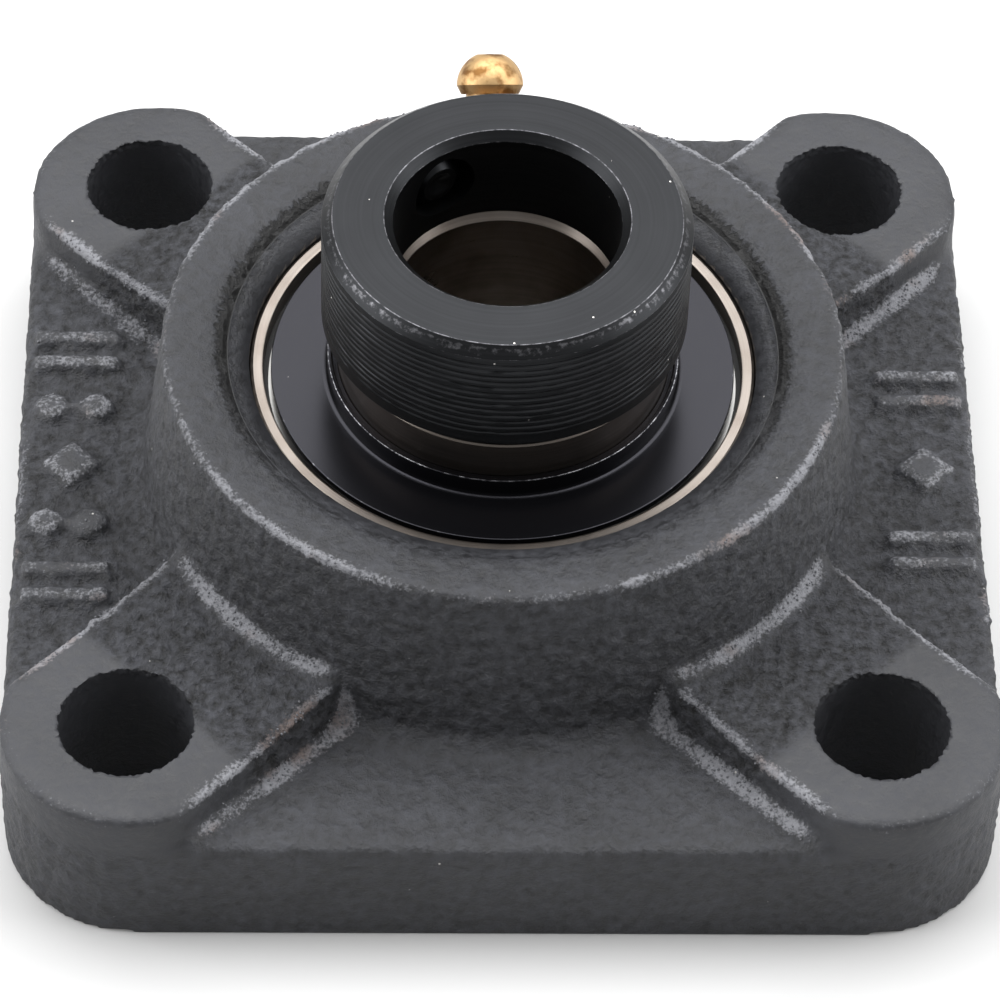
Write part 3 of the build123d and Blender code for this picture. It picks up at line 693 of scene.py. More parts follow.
@dataclass
class CastHousing:
    """The iron casting: a rough blank with its machined seat, step, bolt holes and back face."""

    frame: dict
    rack: Rack
    voxel: float = 0.43
    softening: int = 6
    bolt_spacing: float = 64.0
    bolt_hole_radius: float = 5.8
    boss_height: float = 15.0
    boss_half_width: float = 10.9
    boss_flat_reach: float = 4.3
    flange_thickness: float = 11.4
    step_radius: float = 24.3
    step_floor: float = 27.1
    hub_radius: float = 29.7
    hub_edge_height: float = 27.0
    seat_radius: float = 23.55
    centre_height: float = 17.0
    marks_inside: float = 32.5
    marks_reach: float = 18.0
    relief_depth: float = 0.34
    swell_depth: float = 0.06
    wall_drop: float = 0.12
    ragged_depth: float = 1.6
    grit_density: float = 8.0
    smallest_grit: float = 0.05
    largest_grit: float = 0.15

    def sound_copy(self, name: str) -> bpy.types.Object:
        """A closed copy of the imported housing, with its loose triangles joined."""
        mesh = self.frame["nodes"]["housing"].data.copy()
        shape = bmesh.new()
        shape.from_mesh(mesh)
        bmesh.ops.remove_doubles(shape, verts=shape.verts, dist=0.002 * MM)
        shape.to_mesh(mesh)
        shape.free()
        return new_object(name, mesh)

    def bolt_places(self) -> list[tuple[float, float]]:
        """The four bolt holes' axes."""
        half = self.bolt_spacing / 2
        return [(x * half, y * half) for x in (-1, 1) for y in (-1, 1)]

    def blank(self) -> bpy.types.Object:
        """The casting before machining, as one even skin with softened edges."""
        solid = self.sound_copy("housing_casting")
        plugs = [rod("plug", self.step_radius + 0.1, 0.3, self.step_floor, segments=128)]
        plugs += [rod("plug", self.bolt_hole_radius + 0.4, 0.3, self.boss_height, at, 64)
                  for at in self.bolt_places()]
        with bpy.context.temp_override(active_object=solid, selected_editable_objects=[solid, *plugs]):
            bpy.ops.object.join()
        skin = solid.modifiers.new("skin", "REMESH")
        skin.mode = "VOXEL"
        skin.voxel_size = self.voxel * MM
        return settled(solid)

    def diagonal(self, points: np.ndarray) -> tuple[np.ndarray, np.ndarray]:
        """Distance of points along and across the nearest bolt diagonal, in millimetres."""
        across, along = np.abs(points[:, 0]) / MM, np.abs(points[:, 1]) / MM
        return (across + along) / math.sqrt(2), np.abs(across - along) / math.sqrt(2)

    def grain_field(self, points: np.ndarray, normals: np.ndarray) -> np.ndarray:
        """How coarse the cast skin is: rough on ramps and hub, smooth round the bolts.

        Args:
            points: Places in metres.
            normals: Directions that the skin faces.

        Returns:
            0 for smooth to 1 for the roughest skin.
        """
        reach = np.hypot(points[:, 0], points[:, 1]) / MM
        along, across = self.diagonal(points)
        height = points[:, 2] / MM
        bolt_reach = self.bolt_spacing / math.sqrt(2)
        on_boss = smooth_step(self.boss_half_width + 0.8 - across, 0, 1.2)
        on_boss *= smooth_step(reach, self.hub_radius, self.hub_radius + 2)
        ramp_end = bolt_reach - self.boss_flat_reach
        ramp = 1 - smooth_step(along, ramp_end - 1.0, ramp_end + 1.0)
        field_value = 0.85 - 0.4 * smooth_step(np.abs(points[:, 1]) / MM, 18, 30)
        field_value = field_value * (1 - on_boss) + on_boss * (0.12 + 0.88 * ramp)
        on_hub = 1 - smooth_step(reach, self.hub_radius + 1.5, self.hub_radius + 4)
        on_hub *= smooth_step(height, self.flange_thickness + 0.6, self.flange_thickness + 2.6)
        field_value = field_value * (1 - on_hub) + 0.62 * on_hub
        top = on_hub * smooth_step(normals[:, 2], 0.8, 0.95)
        field_value = field_value * (1 - top) + top * 0.38
        wall = smooth_step(-normals[:, 2], -0.35, 0.0)
        wall *= 1 - smooth_step(height, self.flange_thickness - 1.4, self.flange_thickness)
        return field_value * (1 - wall) + 0.55 * wall

    def wear_field(self, points: np.ndarray, in_marks: np.ndarray) -> np.ndarray:
        """How far handling has rubbed the edges at each place: most along the ramps beside the hub.

        Args:
            points: Places in metres.
            in_marks: 1 on the raised marks and 0 elsewhere.

        Returns:
            0 for untouched to 1 for rubbed bare.
        """
        reach = np.hypot(points[:, 0], points[:, 1]) / MM
        along, across = self.diagonal(points)
        height = points[:, 2] / MM
        bolt_reach = self.bolt_spacing / math.sqrt(2)
        by_ramp = 1 - smooth_step(along, bolt_reach - 1, bolt_reach + 5)
        on_boss = smooth_step(self.boss_half_width + 2.5 - across, 0, 1)
        hub_edge = smooth_step(height, self.hub_edge_height - 1, self.hub_edge_height)
        share = np.maximum(on_boss * (0.25 + 0.75 * by_ramp), 0.5 * hub_edge)
        share = np.maximum(share, 0.62 * in_marks)
        patchy = np.array([noise.fractal(Vector(p) / (4.5 * MM), 1.0, 2.0, 2) for p in points])
        return share * (0.82 + 0.55 * patchy).clip(0.2, 1.0) * smooth_step(height, 9.5, 10.8)

    def roughen(self, blank: bpy.types.Object) -> dict[str, np.ndarray]:
        """Softens the blank's edges and gives its skin the sand's relief.

        Args:
            blank: The even skin, changed in place.

        Returns:
            The skin's wear and grain, one value for each point, and the points.
        """
        net = SurfaceNet(blank.data)
        height = net.points[:, 2] / MM
        in_marks = smooth_step(np.abs(net.points[:, 0]) / MM, self.marks_inside, self.marks_inside + 0.7)
        in_marks *= height > self.flange_thickness - 0.6
        in_marks *= 1 - smooth_step(np.abs(net.points[:, 1]) / MM, self.marks_reach - 0.8, self.marks_reach)
        net.relax(2, 0.5 + 0 * height)
        net.relax(self.softening, 0.5 * (1 - in_marks))
        normals = net.normals()
        # A point stands out by the skin's curvature times the square of its spacing.
        lift = net.bulge(normals) / self.voxel**2
        along, across = self.diagonal(net.points)
        reach = np.hypot(net.points[:, 0], net.points[:, 1]) / MM
        height = net.points[:, 2] / MM
        near_boss = smooth_step(self.boss_half_width + 2.5 - across, 0, 1)
        near_boss *= height > self.flange_thickness - 1
        near_boss *= smooth_step(reach, self.hub_radius - 1, self.hub_radius + 1)
        worn = smooth_step(lift, 0.046, 0.154) + near_boss * smooth_step(-lift, 0.031, 0.123)
        worn *= self.wear_field(net.points, in_marks)
        for _ in range(2):
            worn = (worn + net.mean(worn)) / 2
        grain = self.grain_field(net.points, normals) * (1 - 0.6 * in_marks * smooth_step(height, 11.6, 12.0))
        depth = np.array([self.relief(Vector(p) / MM) for p in net.points])
        swell = np.array([noise.fractal(Vector(p) / (6.0 * MM), 1.0, 2.0, 2) for p in net.points])
        held = 1 - smooth_step(height, 0.2, 1.2)
        wall = 1 - smooth_step(np.abs(normals[:, 2]), 0.3, 0.6)
        rise = self.relief_depth * grain**1.2 * depth + self.swell_depth * swell - self.wall_drop * wall
        net.points += normals * (rise * (1 - held) * MM)[:, None]
        net.points[:, 2] = np.where(height < 0.25, 0.0, net.points[:, 2])
        low, high = (np.array(corner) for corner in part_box("housing"))
        net.points = net.points.clip(low, high)
        net.write()
        return {"points": net.points.copy(), "worn": worn.clip(0, 1), "grain": grain}

    def relief(self, place: Vector) -> float:
        """The sand's relief at a place in millimetres: low swells with pits between grains."""
        pits = noise.voronoi(place / 1.05)[0]
        return noise.fractal(place / 1.1, 0.7, 2.1, 3) * 0.9 - 1.1 * max(0.0, 0.45 - pits[0])

    def flatten_back(self, blank: bpy.types.Object) -> None:
        """Joins the back's flat faces into large ones."""
        shape = bmesh.new()
        shape.from_mesh(blank.data)
        flat = {face for face in shape.faces if max(v.co.z for v in face.verts) < 0.001 * MM}
        # The mesh's own order keeps the result the same on each run.
        inside = [v for v in shape.verts if v.link_faces and flat.issuperset(v.link_faces)]
        bmesh.ops.dissolve_verts(shape, verts=inside)
        shape.to_mesh(blank.data)
        shape.free()

    def bored_seat(self) -> bpy.types.Object:
        """What the machine tools take out of the middle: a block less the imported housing."""
        block = rod("bored_seat", self.step_radius, -1.0, self.centre_height * 2, segments=192)
        cut(block, self.sound_copy("pattern"))
        return block

    def drill(self, at: tuple[float, float]) -> bpy.types.Object:
        """A bolt hole's cutter, with a ragged edge where the paint and skin broke away."""
        segments, rows, row_height = 200, 24, 0.18
        heights = [-1.0] + [self.boss_height - 2.2 + row * row_height for row in range(rows)]
        points, faces = [], []
        for height in heights:
            for turn in range(segments):
                angle = 2 * math.pi * turn / segments
                place = Vector((at[0] + self.bolt_hole_radius * math.cos(angle),
                                at[1] + self.bolt_hole_radius * math.sin(angle), height))
                near_top = max(0.0, 1 - (self.boss_height - height) / self.ragged_depth)
                ragged = near_top * (0.2 * noise.noise(place / 0.5) + 0.16 * noise.noise(place / 0.24))
                radius = self.bolt_hole_radius + ragged + 0.05 * noise.noise(place / 3)
                points.append(Vector((at[0] + radius * math.cos(angle), at[1] + radius * math.sin(angle),
                                      height)) * MM)
        for level in range(len(heights) - 1):
            low, high = level * segments, (level + 1) * segments
            for turn in range(segments):
                after = (turn + 1) % segments
                faces.append((low + turn, low + after, high + after, high + turn))
        faces.append(tuple(reversed(range(segments))))
        faces.append(tuple(range(len(points) - segments, len(points))))
        mesh = bpy.data.meshes.new("drill")
        mesh.from_pydata(points, [], faces)
        return new_object("drill", mesh)

    def mark_skin(self, casting: bpy.types.Object, skin: dict[str, np.ndarray]) -> None:
        """Copies the skin's wear and grain to the machined casting.

        Args:
            casting: The finished mesh.
            skin: What roughen() returned.
        """
        tree = KDTree(len(skin["points"]))
        for index, point in enumerate(skin["points"]):
            tree.insert(point, index)
        tree.balance()
        mesh = casting.data
        found = [tree.find(v.co) for v in mesh.vertices]
        index = np.array([f[1] for f in found])
        away = np.array([f[2] for f in found]) / MM
        near = 1 - smooth_step(away, 0.4, 0.9)
        for name in ("worn", "grain"):
            layer = mesh.attributes.new(name, "FLOAT", "POINT")
            layer.data.foreach_set("value", (skin[name][index] * near).astype(np.float32))

    def assign_faces(self, casting: bpy.types.Object) -> None:
        """Gives bored surfaces the second material."""
        mesh = casting.data
        for face in mesh.polygons:
            middle = face.center / MM
            reach = math.hypot(middle.x, middle.y)
            ball = (Vector(middle) - Vector((0, 0, self.centre_height))).length
            bored = abs(ball - self.seat_radius) < 0.12 and reach < self.seat_radius
            face.material_index = 1 if bored else 0

    def grit_tree(self) -> bpy.types.NodeTree:
        """Nodes that scatter bare grains of sand and iron along a skin's rubbed edges.

        Returns:
            A tree with the grains' density, sizes, seed and finish as named inputs.
        """
        tree = bpy.data.node_groups.new("edge_grit", "GeometryNodeTree")
        face = tree.interface
        face.new_socket("Geometry", in_out="OUTPUT", socket_type="NodeSocketGeometry")
        face.new_socket("Geometry", in_out="INPUT", socket_type="NodeSocketGeometry")
        for name in ("Density", "Smallest", "Largest"):
            face.new_socket(name, in_out="INPUT", socket_type="NodeSocketFloat")
        face.new_socket("Seed", in_out="INPUT", socket_type="NodeSocketInt")
        face.new_socket("Finish", in_out="INPUT", socket_type="NodeSocketMaterial")
        given = add_node(tree, "NodeGroupInput").outputs
        worn = add_node(tree, "GeometryNodeInputNamedAttribute", {"Name": "worn"}, data_type="FLOAT")
        steep = add_node(tree, "ShaderNodeMath", {0: worn.outputs["Attribute"], 1: 3.0}, operation="POWER")
        density = add_node(tree, "ShaderNodeMath", {0: steep.outputs[0], 1: given["Density"]},
                           operation="MULTIPLY")
        points = add_node(tree, "GeometryNodeDistributePointsOnFaces", {
            "Mesh": given["Geometry"], "Density": density.outputs[0], "Seed": given["Seed"]})
        grain = add_node(tree, "GeometryNodeMeshIcoSphere", {"Radius": 1.0, "Subdivisions": 1})
        size = add_node(tree, "FunctionNodeRandomValue", {2: given["Smallest"], 3: given["Largest"],
                                                          "Seed": given["Seed"]}, data_type="FLOAT")
        turn = add_node(tree, "FunctionNodeRandomValue", {1: (6.28, 6.28, 6.28), "Seed": given["Seed"]},
                        data_type="FLOAT_VECTOR")
        placed = add_node(tree, "GeometryNodeInstanceOnPoints", {
            "Points": points.outputs["Points"], "Instance": grain.outputs["Mesh"],
            "Rotation": turn.outputs[0], "Scale": size.outputs[1]})
        real = add_node(tree, "GeometryNodeRealizeInstances", {0: placed.outputs[0]})
        done = add_node(tree, "GeometryNodeSetMaterial", {"Geometry": real.outputs[0],
                                                          "Material": given["Finish"]})
        add_node(tree, "NodeGroupOutput", {0: done.outputs[0]})
        return tree

    def edge_grit(self, casting: bpy.types.Object) -> bpy.types.Object:
        """Small grains that stand out where the paint is rubbed off the casting's edges.

        Args:
            casting: The finished casting, with its wear as an attribute.

        Returns:
            The grains as one piece.
        """
        grit = new_object("casting_edge_grit", casting.data.copy())
        scatter = grit.modifiers.new("grit", "NODES")
        scatter.node_group = self.grit_tree()
        set_inputs(scatter, {"Density": self.grit_density / MM**2, "Smallest": self.smallest_grit * MM,
                             "Largest": self.largest_grit * MM, "Seed": 11, "Finish": self.rack[Look.BARE]})
        settled(grit)
        dress(grit, self.rack[Look.BARE])
        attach(grit, "housing")
        return grit

    def build(self) -> bpy.types.Object:
        """Makes the casting, dresses it and puts it on its body.

        Returns:
            The finished piece.
        """
        casting = self.blank()
        skin = self.roughen(casting)
        self.flatten_back(casting)
        cut(casting, self.bored_seat())
        for at in self.bolt_places():
            cut(casting, self.drill(at))
        self.mark_skin(casting, skin)
        dress(casting, self.rack[Look.CASTING], self.rack[Look.BORED])
        self.assign_faces(casting)
        shade(casting, 40)
        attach(casting, "housing")
        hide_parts("housing")
        log.info("grit: %d faces", len(self.edge_grit(casting).data.polygons))
        return casting


# ---- Bearing insert -------------------------------------------------------------------------


@dataclass
class BearingInsert:
    """The insert: outer ring, inner ring with its flingers, seals, cage and balls."""

    frame: dict
    rack: Rack
    centre_height: float = 17.0
    outer_radius: float = 23.5
    half_width: float = 8.519
    rim_width: float = 1.05
    seal_start: float = 5.449
    seal_end: float = 6.749
    seal_seat: float = 21.052
    land_radius: float = 19.279
    pitch_radius: float = 16.75
    raceway_radius: float = 4.029
    bore_radius: float = 9.525
    bore_chamfer: float = 0.7
    shoulder_radius: float = 14.421
    eccentric_radius: float = 12.7
    eccentricity: float = 0.8
    eccentric_azimuth: float = 35.0
    collar_back: float = 13.919
    flinger_start: float = 7.499
    flinger_top: float = 8.199
    flinger_radius: float = 20.202
    sleeve_radius: float = 15.3
    lip_top: float = 10.119

    def raceway(self, inner: bool, steps: int = 24) -> list[Corner]:
        """The groove that the balls roll in, from its back edge to its front edge.

        Args:
            inner: True for the inner ring's groove, which faces outward.
            steps: Straight runs along the arc.

        Returns:
            The arc's points.
        """
        side = -1 if inner else 1
        edge = self.shoulder_radius if inner else self.land_radius
        lean = math.acos(abs(edge - self.pitch_radius) / self.raceway_radius)
        leans = [-lean + 2 * lean * step / steps for step in range(steps + 1)]
        return [Corner(self.pitch_radius + side * self.raceway_radius * math.cos(a),
                       self.raceway_radius * math.sin(a)) for a in leans]

    def outer_ring(self) -> bpy.types.Object:
        """The outer ring: a ball outside, a ground rim, seal seats and the raceway."""
        face = math.sqrt(self.outer_radius**2 - self.half_width**2)
        rim = face - self.rim_width
        lean = math.asin(self.half_width / self.outer_radius) - 0.006
        steps = 40
        outside = [Corner(self.outer_radius * math.cos(a), self.outer_radius * math.sin(a))
                   for a in (-lean + 2 * lean * step / steps for step in range(steps + 1))]
        half = self.half_width
        front = [Corner(face - 0.18, half, 0.05), Corner(rim, half, 0.16), Corner(rim, self.seal_end, 0.05),
                 Corner(self.seal_seat, self.seal_end, 0.04), Corner(self.seal_seat, self.seal_start, 0.08),
                 Corner(self.land_radius, self.seal_start, 0.15)]
        back = [Corner(c.radius, -c.height, c.rounding) for c in reversed(front)]
        section = outside + front + list(reversed(self.raceway(inner=False))) + back
        return turned("outer_ring_ground", section_points(section), self.centre_height, 256)

    def inner_ring(self) -> bpy.types.Object:
        """The inner ring: bore, raceway, shoulder and the eccentric end."""
        low, high = (v.z / MM - self.centre_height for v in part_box("inner_ring"))
        turn = math.radians(self.eccentric_azimuth)
        off = (self.eccentricity * math.cos(turn), self.eccentricity * math.sin(turn))
        shoulder_end = self.collar_back - 0.3
        mouth = self.bore_radius + self.bore_chamfer
        section = [
            Corner(mouth, low, 0.08), Corner(self.shoulder_radius - 0.5, low, 0.1),
            Corner(self.shoulder_radius, low + 0.5, 0.1), *self.raceway(inner=True),
            Corner(self.shoulder_radius, shoulder_end - 0.15, 0.1),
            Corner(self.shoulder_radius - 0.15, shoulder_end, 0.1),
            Corner(self.eccentric_radius, shoulder_end, 0.1, off),
            Corner(self.eccentric_radius, high - 0.5, 0.08, off),
            Corner(self.eccentric_radius - 0.5, high, 0.08, off),
            Corner(mouth, high, 0.12), Corner(self.bore_radius, high - self.bore_chamfer, 0.15),
            Corner(self.bore_radius, low + self.bore_chamfer, 0.15)]
        return turned("inner_ring_ground", section_points(section), self.centre_height, 256)

    def flinger(self, side: int) -> bpy.types.Object:
        """A pressed flinger with a rolled sleeve, on the front (1) or the back (-1)."""
        sleeve, inner = self.sleeve_radius, self.shoulder_radius
        section = [
            Corner(inner, self.flinger_start, 0.05), Corner(self.flinger_radius, self.flinger_start, 0.1),
            Corner(self.flinger_radius, self.flinger_top, 0.1, worn=0.25),
            Corner(sleeve, self.flinger_top, 0.35),
            Corner(sleeve, self.lip_top, 0.1, worn=0.5), Corner(sleeve - 0.35, self.lip_top, 0.08, worn=0.3),
            Corner(sleeve - 0.45, self.lip_top - 0.25, 0.05), Corner(inner, self.lip_top - 0.25, 0.1)]
        if side < 0:
            section = [replace(c, height=-c.height) for c in reversed(section)]
        name = "front_flinger_pressed" if side > 0 else "back_flinger_pressed"
        return turned(name, section_points(section), self.centre_height, 256)

    def oil_bore(self, ring: bpy.types.Object) -> None:
        """Gives the shaft's bore its darker, oiled finish."""
        ring.data.materials.append(self.rack[Look.OILED])
        for face in ring.data.polygons:
            reach = math.hypot(face.center.x, face.center.y) / MM
            face.material_index = 1 if reach < self.bore_radius + 0.02 else 0

    def dress_hidden(self) -> None:
        """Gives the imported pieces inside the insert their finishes."""
        looks = {"cage": Look.SHEET, "ball_": Look.BALLS, "seal_lip": Look.RUBBER, "seal_core": Look.SHEET,
                 "anti_rotation_pin": Look.GROUND}
        for name, node in self.frame["nodes"].items():
            for part, look in looks.items():
                if part in name and not name.startswith("grease"):
                    dress(node, self.rack[look])

    def build(self) -> list[bpy.types.Object]:
        """Makes the visible rings and flingers and dresses the rest.

        Returns:
            The new pieces.
        """
        made = []
        for piece, node, body, look, slot in (
                (self.outer_ring(), "outer_ring", "outer_ring", Look.GROUND, "bearing_steel"),
                (self.inner_ring(), "inner_ring", "inner_ring", Look.GROUND, "bearing_steel"),
                (self.flinger(1), "front_slinger", "inner_ring", Look.FLINGER, "slinger_steel"),
                (self.flinger(-1), "back_slinger", "inner_ring", Look.FLINGER, "slinger_steel")):
            dress(piece, self.rack[look])
            if node == "inner_ring":
                self.oil_bore(piece)
            shade(piece)
            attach(piece, body)
            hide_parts(node)
            made.append(piece)
        self.dress_hidden()
        return made


@dataclass
class LockingCollar:
    """The eccentric collar: turned all over, grooved outside, with its screw and drift holes."""

    frame: dict
    rack: Rack
    centre_height: float = 17.0
    radius: float = 15.8
    bore_radius: float = 9.725
    bore_chamfer: float = 0.75
    face_chamfer: float = 0.9
    back_chamfer: float = 1.5
    recess_radius: float = 12.95
    recess_top: float = 17.419
    eccentricity: float = 0.8
    eccentric_azimuth: float = 35.0
    groove_count: int = 13
    groove_pitch: float = 0.68
    groove_depth: float = 0.08
    screw_radius: float = 3.05
    screw_azimuth: float = 124.0
    drift_radius: float = 2.0
    drift_depth: float = 3.0
    drift_azimuth: float = 45.0

    def blank(self) -> bpy.types.Object:
        """The collar before its grooves and radial holes."""
        low, high = (v.z / MM - self.centre_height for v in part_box("locking_collar"))
        turn = math.radians(self.eccentric_azimuth)
        off = (self.eccentricity * math.cos(turn), self.eccentricity * math.sin(turn))
        wall_low, wall_high = low + self.back_chamfer, high - self.face_chamfer
        rows = 112
        wall = [Corner(self.radius, wall_low + (wall_high - wall_low) * row / rows) for row in range(1, rows)]
        section = [
            Corner(self.recess_radius, low, 0.08, off), Corner(self.radius - self.back_chamfer, low, 0.1),
            Corner(self.radius, wall_low, 0.12), *wall, Corner(self.radius, wall_high, 0.07, worn=0.4),
            Corner(self.radius - 0.3 * self.face_chamfer, wall_high + 0.3 * self.face_chamfer, worn=0.3),
            Corner(self.radius - 0.7 * self.face_chamfer, wall_high + 0.7 * self.face_chamfer, worn=0.5),
            Corner(self.radius - self.face_chamfer, high, 0.12, worn=0.6),
            Corner(self.bore_radius + self.bore_chamfer, high, 0.12, worn=0.6),
            Corner(self.bore_radius, high - self.bore_chamfer, 0.1, worn=0.5),
            Corner(self.bore_radius, self.recess_top, 0.08),
            Corner(self.recess_radius, self.recess_top, 0.1, off)]
        return turned("locking_collar_turned", section_points(section), self.centre_height, 256)

    def radial_cutter(self, radius: float, azimuth: float, start: float, end: float,
                      height: float) -> bpy.types.Object:
        """A cylinder that points out from the shaft's axis, with a small countersink.

        Args:
            radius: The hole's radius.
            azimuth: Where it points, in degrees.
            start: Where it starts, from the axis.
            end: The collar's radius there.
            height: Its height over the frame's origin.

        Returns:
            The cutter.
        """
        flare = 0.25
        point = 0.001
        section = [Corner(radius, start), Corner(radius, end - flare),
                   Corner(radius + 2 * flare, end + flare), Corner(point, end + flare), Corner(point, start)]
        cutter = turned("radial_cutter", list(reversed(section)), 0.0, 64)
        turn = math.radians(azimuth)
        out = Vector((math.cos(turn), math.sin(turn), 0))
        place = Matrix.Translation((0, 0, height * MM)) @ out.to_track_quat("Z", "Y").to_matrix().to_4x4()
        cutter.data.transform(place)
        shape = bmesh.new()
        shape.from_mesh(cutter.data)
        bmesh.ops.remove_doubles(shape, verts=shape.verts, dist=0.003 * MM)
        bmesh.ops.recalc_face_normals(shape, faces=shape.faces)
        shape.to_mesh(cutter.data)
        shape.free()
        return cutter

    def groove_tree(self) -> bpy.types.NodeTree:
        """Nodes that sink fine tool grooves into the collar's outside.

        Returns:
            A tree with the grooves' sizes and the finish as named inputs.
        """
        tree = bpy.data.node_groups.new("turned_grooves", "GeometryNodeTree")
        face = tree.interface
        face.new_socket("Geometry", in_out="OUTPUT", socket_type="NodeSocketGeometry")
        face.new_socket("Geometry", in_out="INPUT", socket_type="NodeSocketGeometry")
        for name in ("Start", "Run", "Pitch", "Depth", "Radius"):
            face.new_socket(name, in_out="INPUT", socket_type="NodeSocketFloat")
        face.new_socket("Finish", in_out="INPUT", socket_type="NodeSocketMaterial")
        given = add_node(tree, "NodeGroupInput").outputs
        place = add_node(tree, "GeometryNodeInputPosition").outputs[0]
        parts = add_node(tree, "ShaderNodeSeparateXYZ", {0: place})
        flat = add_node(tree, "ShaderNodeCombineXYZ", {0: parts.outputs[0], 1: parts.outputs[1]})
        reach = add_node(tree, "ShaderNodeVectorMath", {0: flat.outputs[0]}, operation="LENGTH")
        outside = add_node(tree, "ShaderNodeMath", {0: reach.outputs["Value"], 1: given["Radius"]},
                           operation="GREATER_THAN")
        wander = add_node(tree, "ShaderNodeTexNoise", {"Vector": place, "Scale": per(5.0), "Detail": 2.0})
        sway = add_node(tree, "ShaderNodeMath", {0: wander.outputs["Fac"], 1: 0.28 * MM, 2: parts.outputs[2]},
                        operation="MULTIPLY_ADD")
        along = add_node(tree, "ShaderNodeMath", {0: sway.outputs[0], 1: given["Start"]},
                         operation="SUBTRACT")
        turn = add_node(tree, "ShaderNodeMath", {0: along.outputs[0], 1: given["Pitch"]},
                        operation="DIVIDE")
        wave = add_node(tree, "ShaderNodeMath", {0: turn.outputs[0], 1: 1.0}, operation="PINGPONG")
        # A pointed tool leaves narrow grooves between wide lands.
        groove = add_node(tree, "ShaderNodeMapRange", {"Value": wave.outputs[0], "From Min": 0.62,
                                                       "From Max": 1.0, "To Min": 0.0, "To Max": 1.0})
        below = add_node(tree, "ShaderNodeMath", {0: along.outputs[0], 1: 0.0}, operation="GREATER_THAN")
        above = add_node(tree, "ShaderNodeMath", {0: along.outputs[0], 1: given["Run"]},
                         operation="LESS_THAN")
        inside = add_node(tree, "ShaderNodeMath", {0: below.outputs[0], 1: above.outputs[0]},
                          operation="MULTIPLY")
        uneven = add_node(tree, "ShaderNodeTexNoise", {"Vector": place, "Scale": per(2.2), "Detail": 2.0})
        depth = add_node(tree, "ShaderNodeMath", {0: uneven.outputs["Fac"], 1: given["Depth"]},
                         operation="MULTIPLY")
        sunk = add_node(tree, "ShaderNodeMath", {0: groove.outputs[0], 1: depth.outputs[0]},
                        operation="MULTIPLY")
        kept = add_node(tree, "ShaderNodeMath", {0: sunk.outputs[0], 1: inside.outputs[0]},
                        operation="MULTIPLY")
        outward = add_node(tree, "ShaderNodeVectorMath", {0: flat.outputs[0]}, operation="NORMALIZE")
        inward = add_node(tree, "ShaderNodeMath", {0: kept.outputs[0], 1: -2.0}, operation="MULTIPLY")
        move = add_node(tree, "ShaderNodeVectorMath", {0: outward.outputs[0], "Scale": inward.outputs[0]},
                        operation="SCALE")
        moved = add_node(tree, "GeometryNodeSetPosition", {"Geometry": given["Geometry"],
                                                           "Selection": outside.outputs[0],
                                                           "Offset": move.outputs[0]})
        real = add_node(tree, "GeometryNodeRealizeInstances", {0: moved.outputs[0]})
        done = add_node(tree, "GeometryNodeSetMaterial", {"Geometry": real.outputs[0],
                                                          "Material": given["Finish"]})
        add_node(tree, "NodeGroupOutput", {0: done.outputs[0]})
        return tree

    def build(self) -> bpy.types.Object:
        """Makes the collar, dresses it and puts it on its body.

        Returns:
            The finished piece.
        """
        collar = self.blank()
        low, high = (v.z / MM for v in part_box("locking_collar"))
        run = self.groove_count * self.groove_pitch
        grooves = collar.modifiers.new("grooves", "NODES")
        grooves.node_group = self.groove_tree()
        set_inputs(grooves, {"Start": (high - self.face_chamfer - self.groove_pitch / 2 - run) * MM,
                             "Run": run * MM, "Pitch": self.groove_pitch * MM / 2,
                             "Depth": self.groove_depth * MM, "Radius": (self.radius - 0.06) * MM,
                             "Finish": self.rack[Look.BLACKENED]})
        settled(collar)
        height = (self.recess_top + self.centre_height + high) / 2
        cut(collar, self.radial_cutter(self.screw_radius, self.screw_azimuth, 4.0, self.radius, height))
        cut(collar, self.radial_cutter(self.drift_radius, self.drift_azimuth, self.radius - self.drift_depth,
                                       self.radius, height))
        dress(collar, self.rack[Look.BLACKENED])
        shade(collar, 30)
        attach(collar, "locking_collar")
        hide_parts("locking_collar")
        dress(self.frame["nodes"]["collar_set_screw"], self.rack[Look.BLACKENED])
        return collar


def set_inputs(modifier: bpy.types.Modifier, values: dict[str, Any]) -> None:
    """Sets a node modifier's inputs by their sockets' identifiers.

    Args:
        modifier: The modifier, with its tree.
        values: Values by the input's name.
    """
    for item in modifier.node_group.interface.items_tree:
        if item.item_type == "SOCKET" and item.in_out == "INPUT" and item.name in values:
            modifier[item.identifier] = values[item.name]


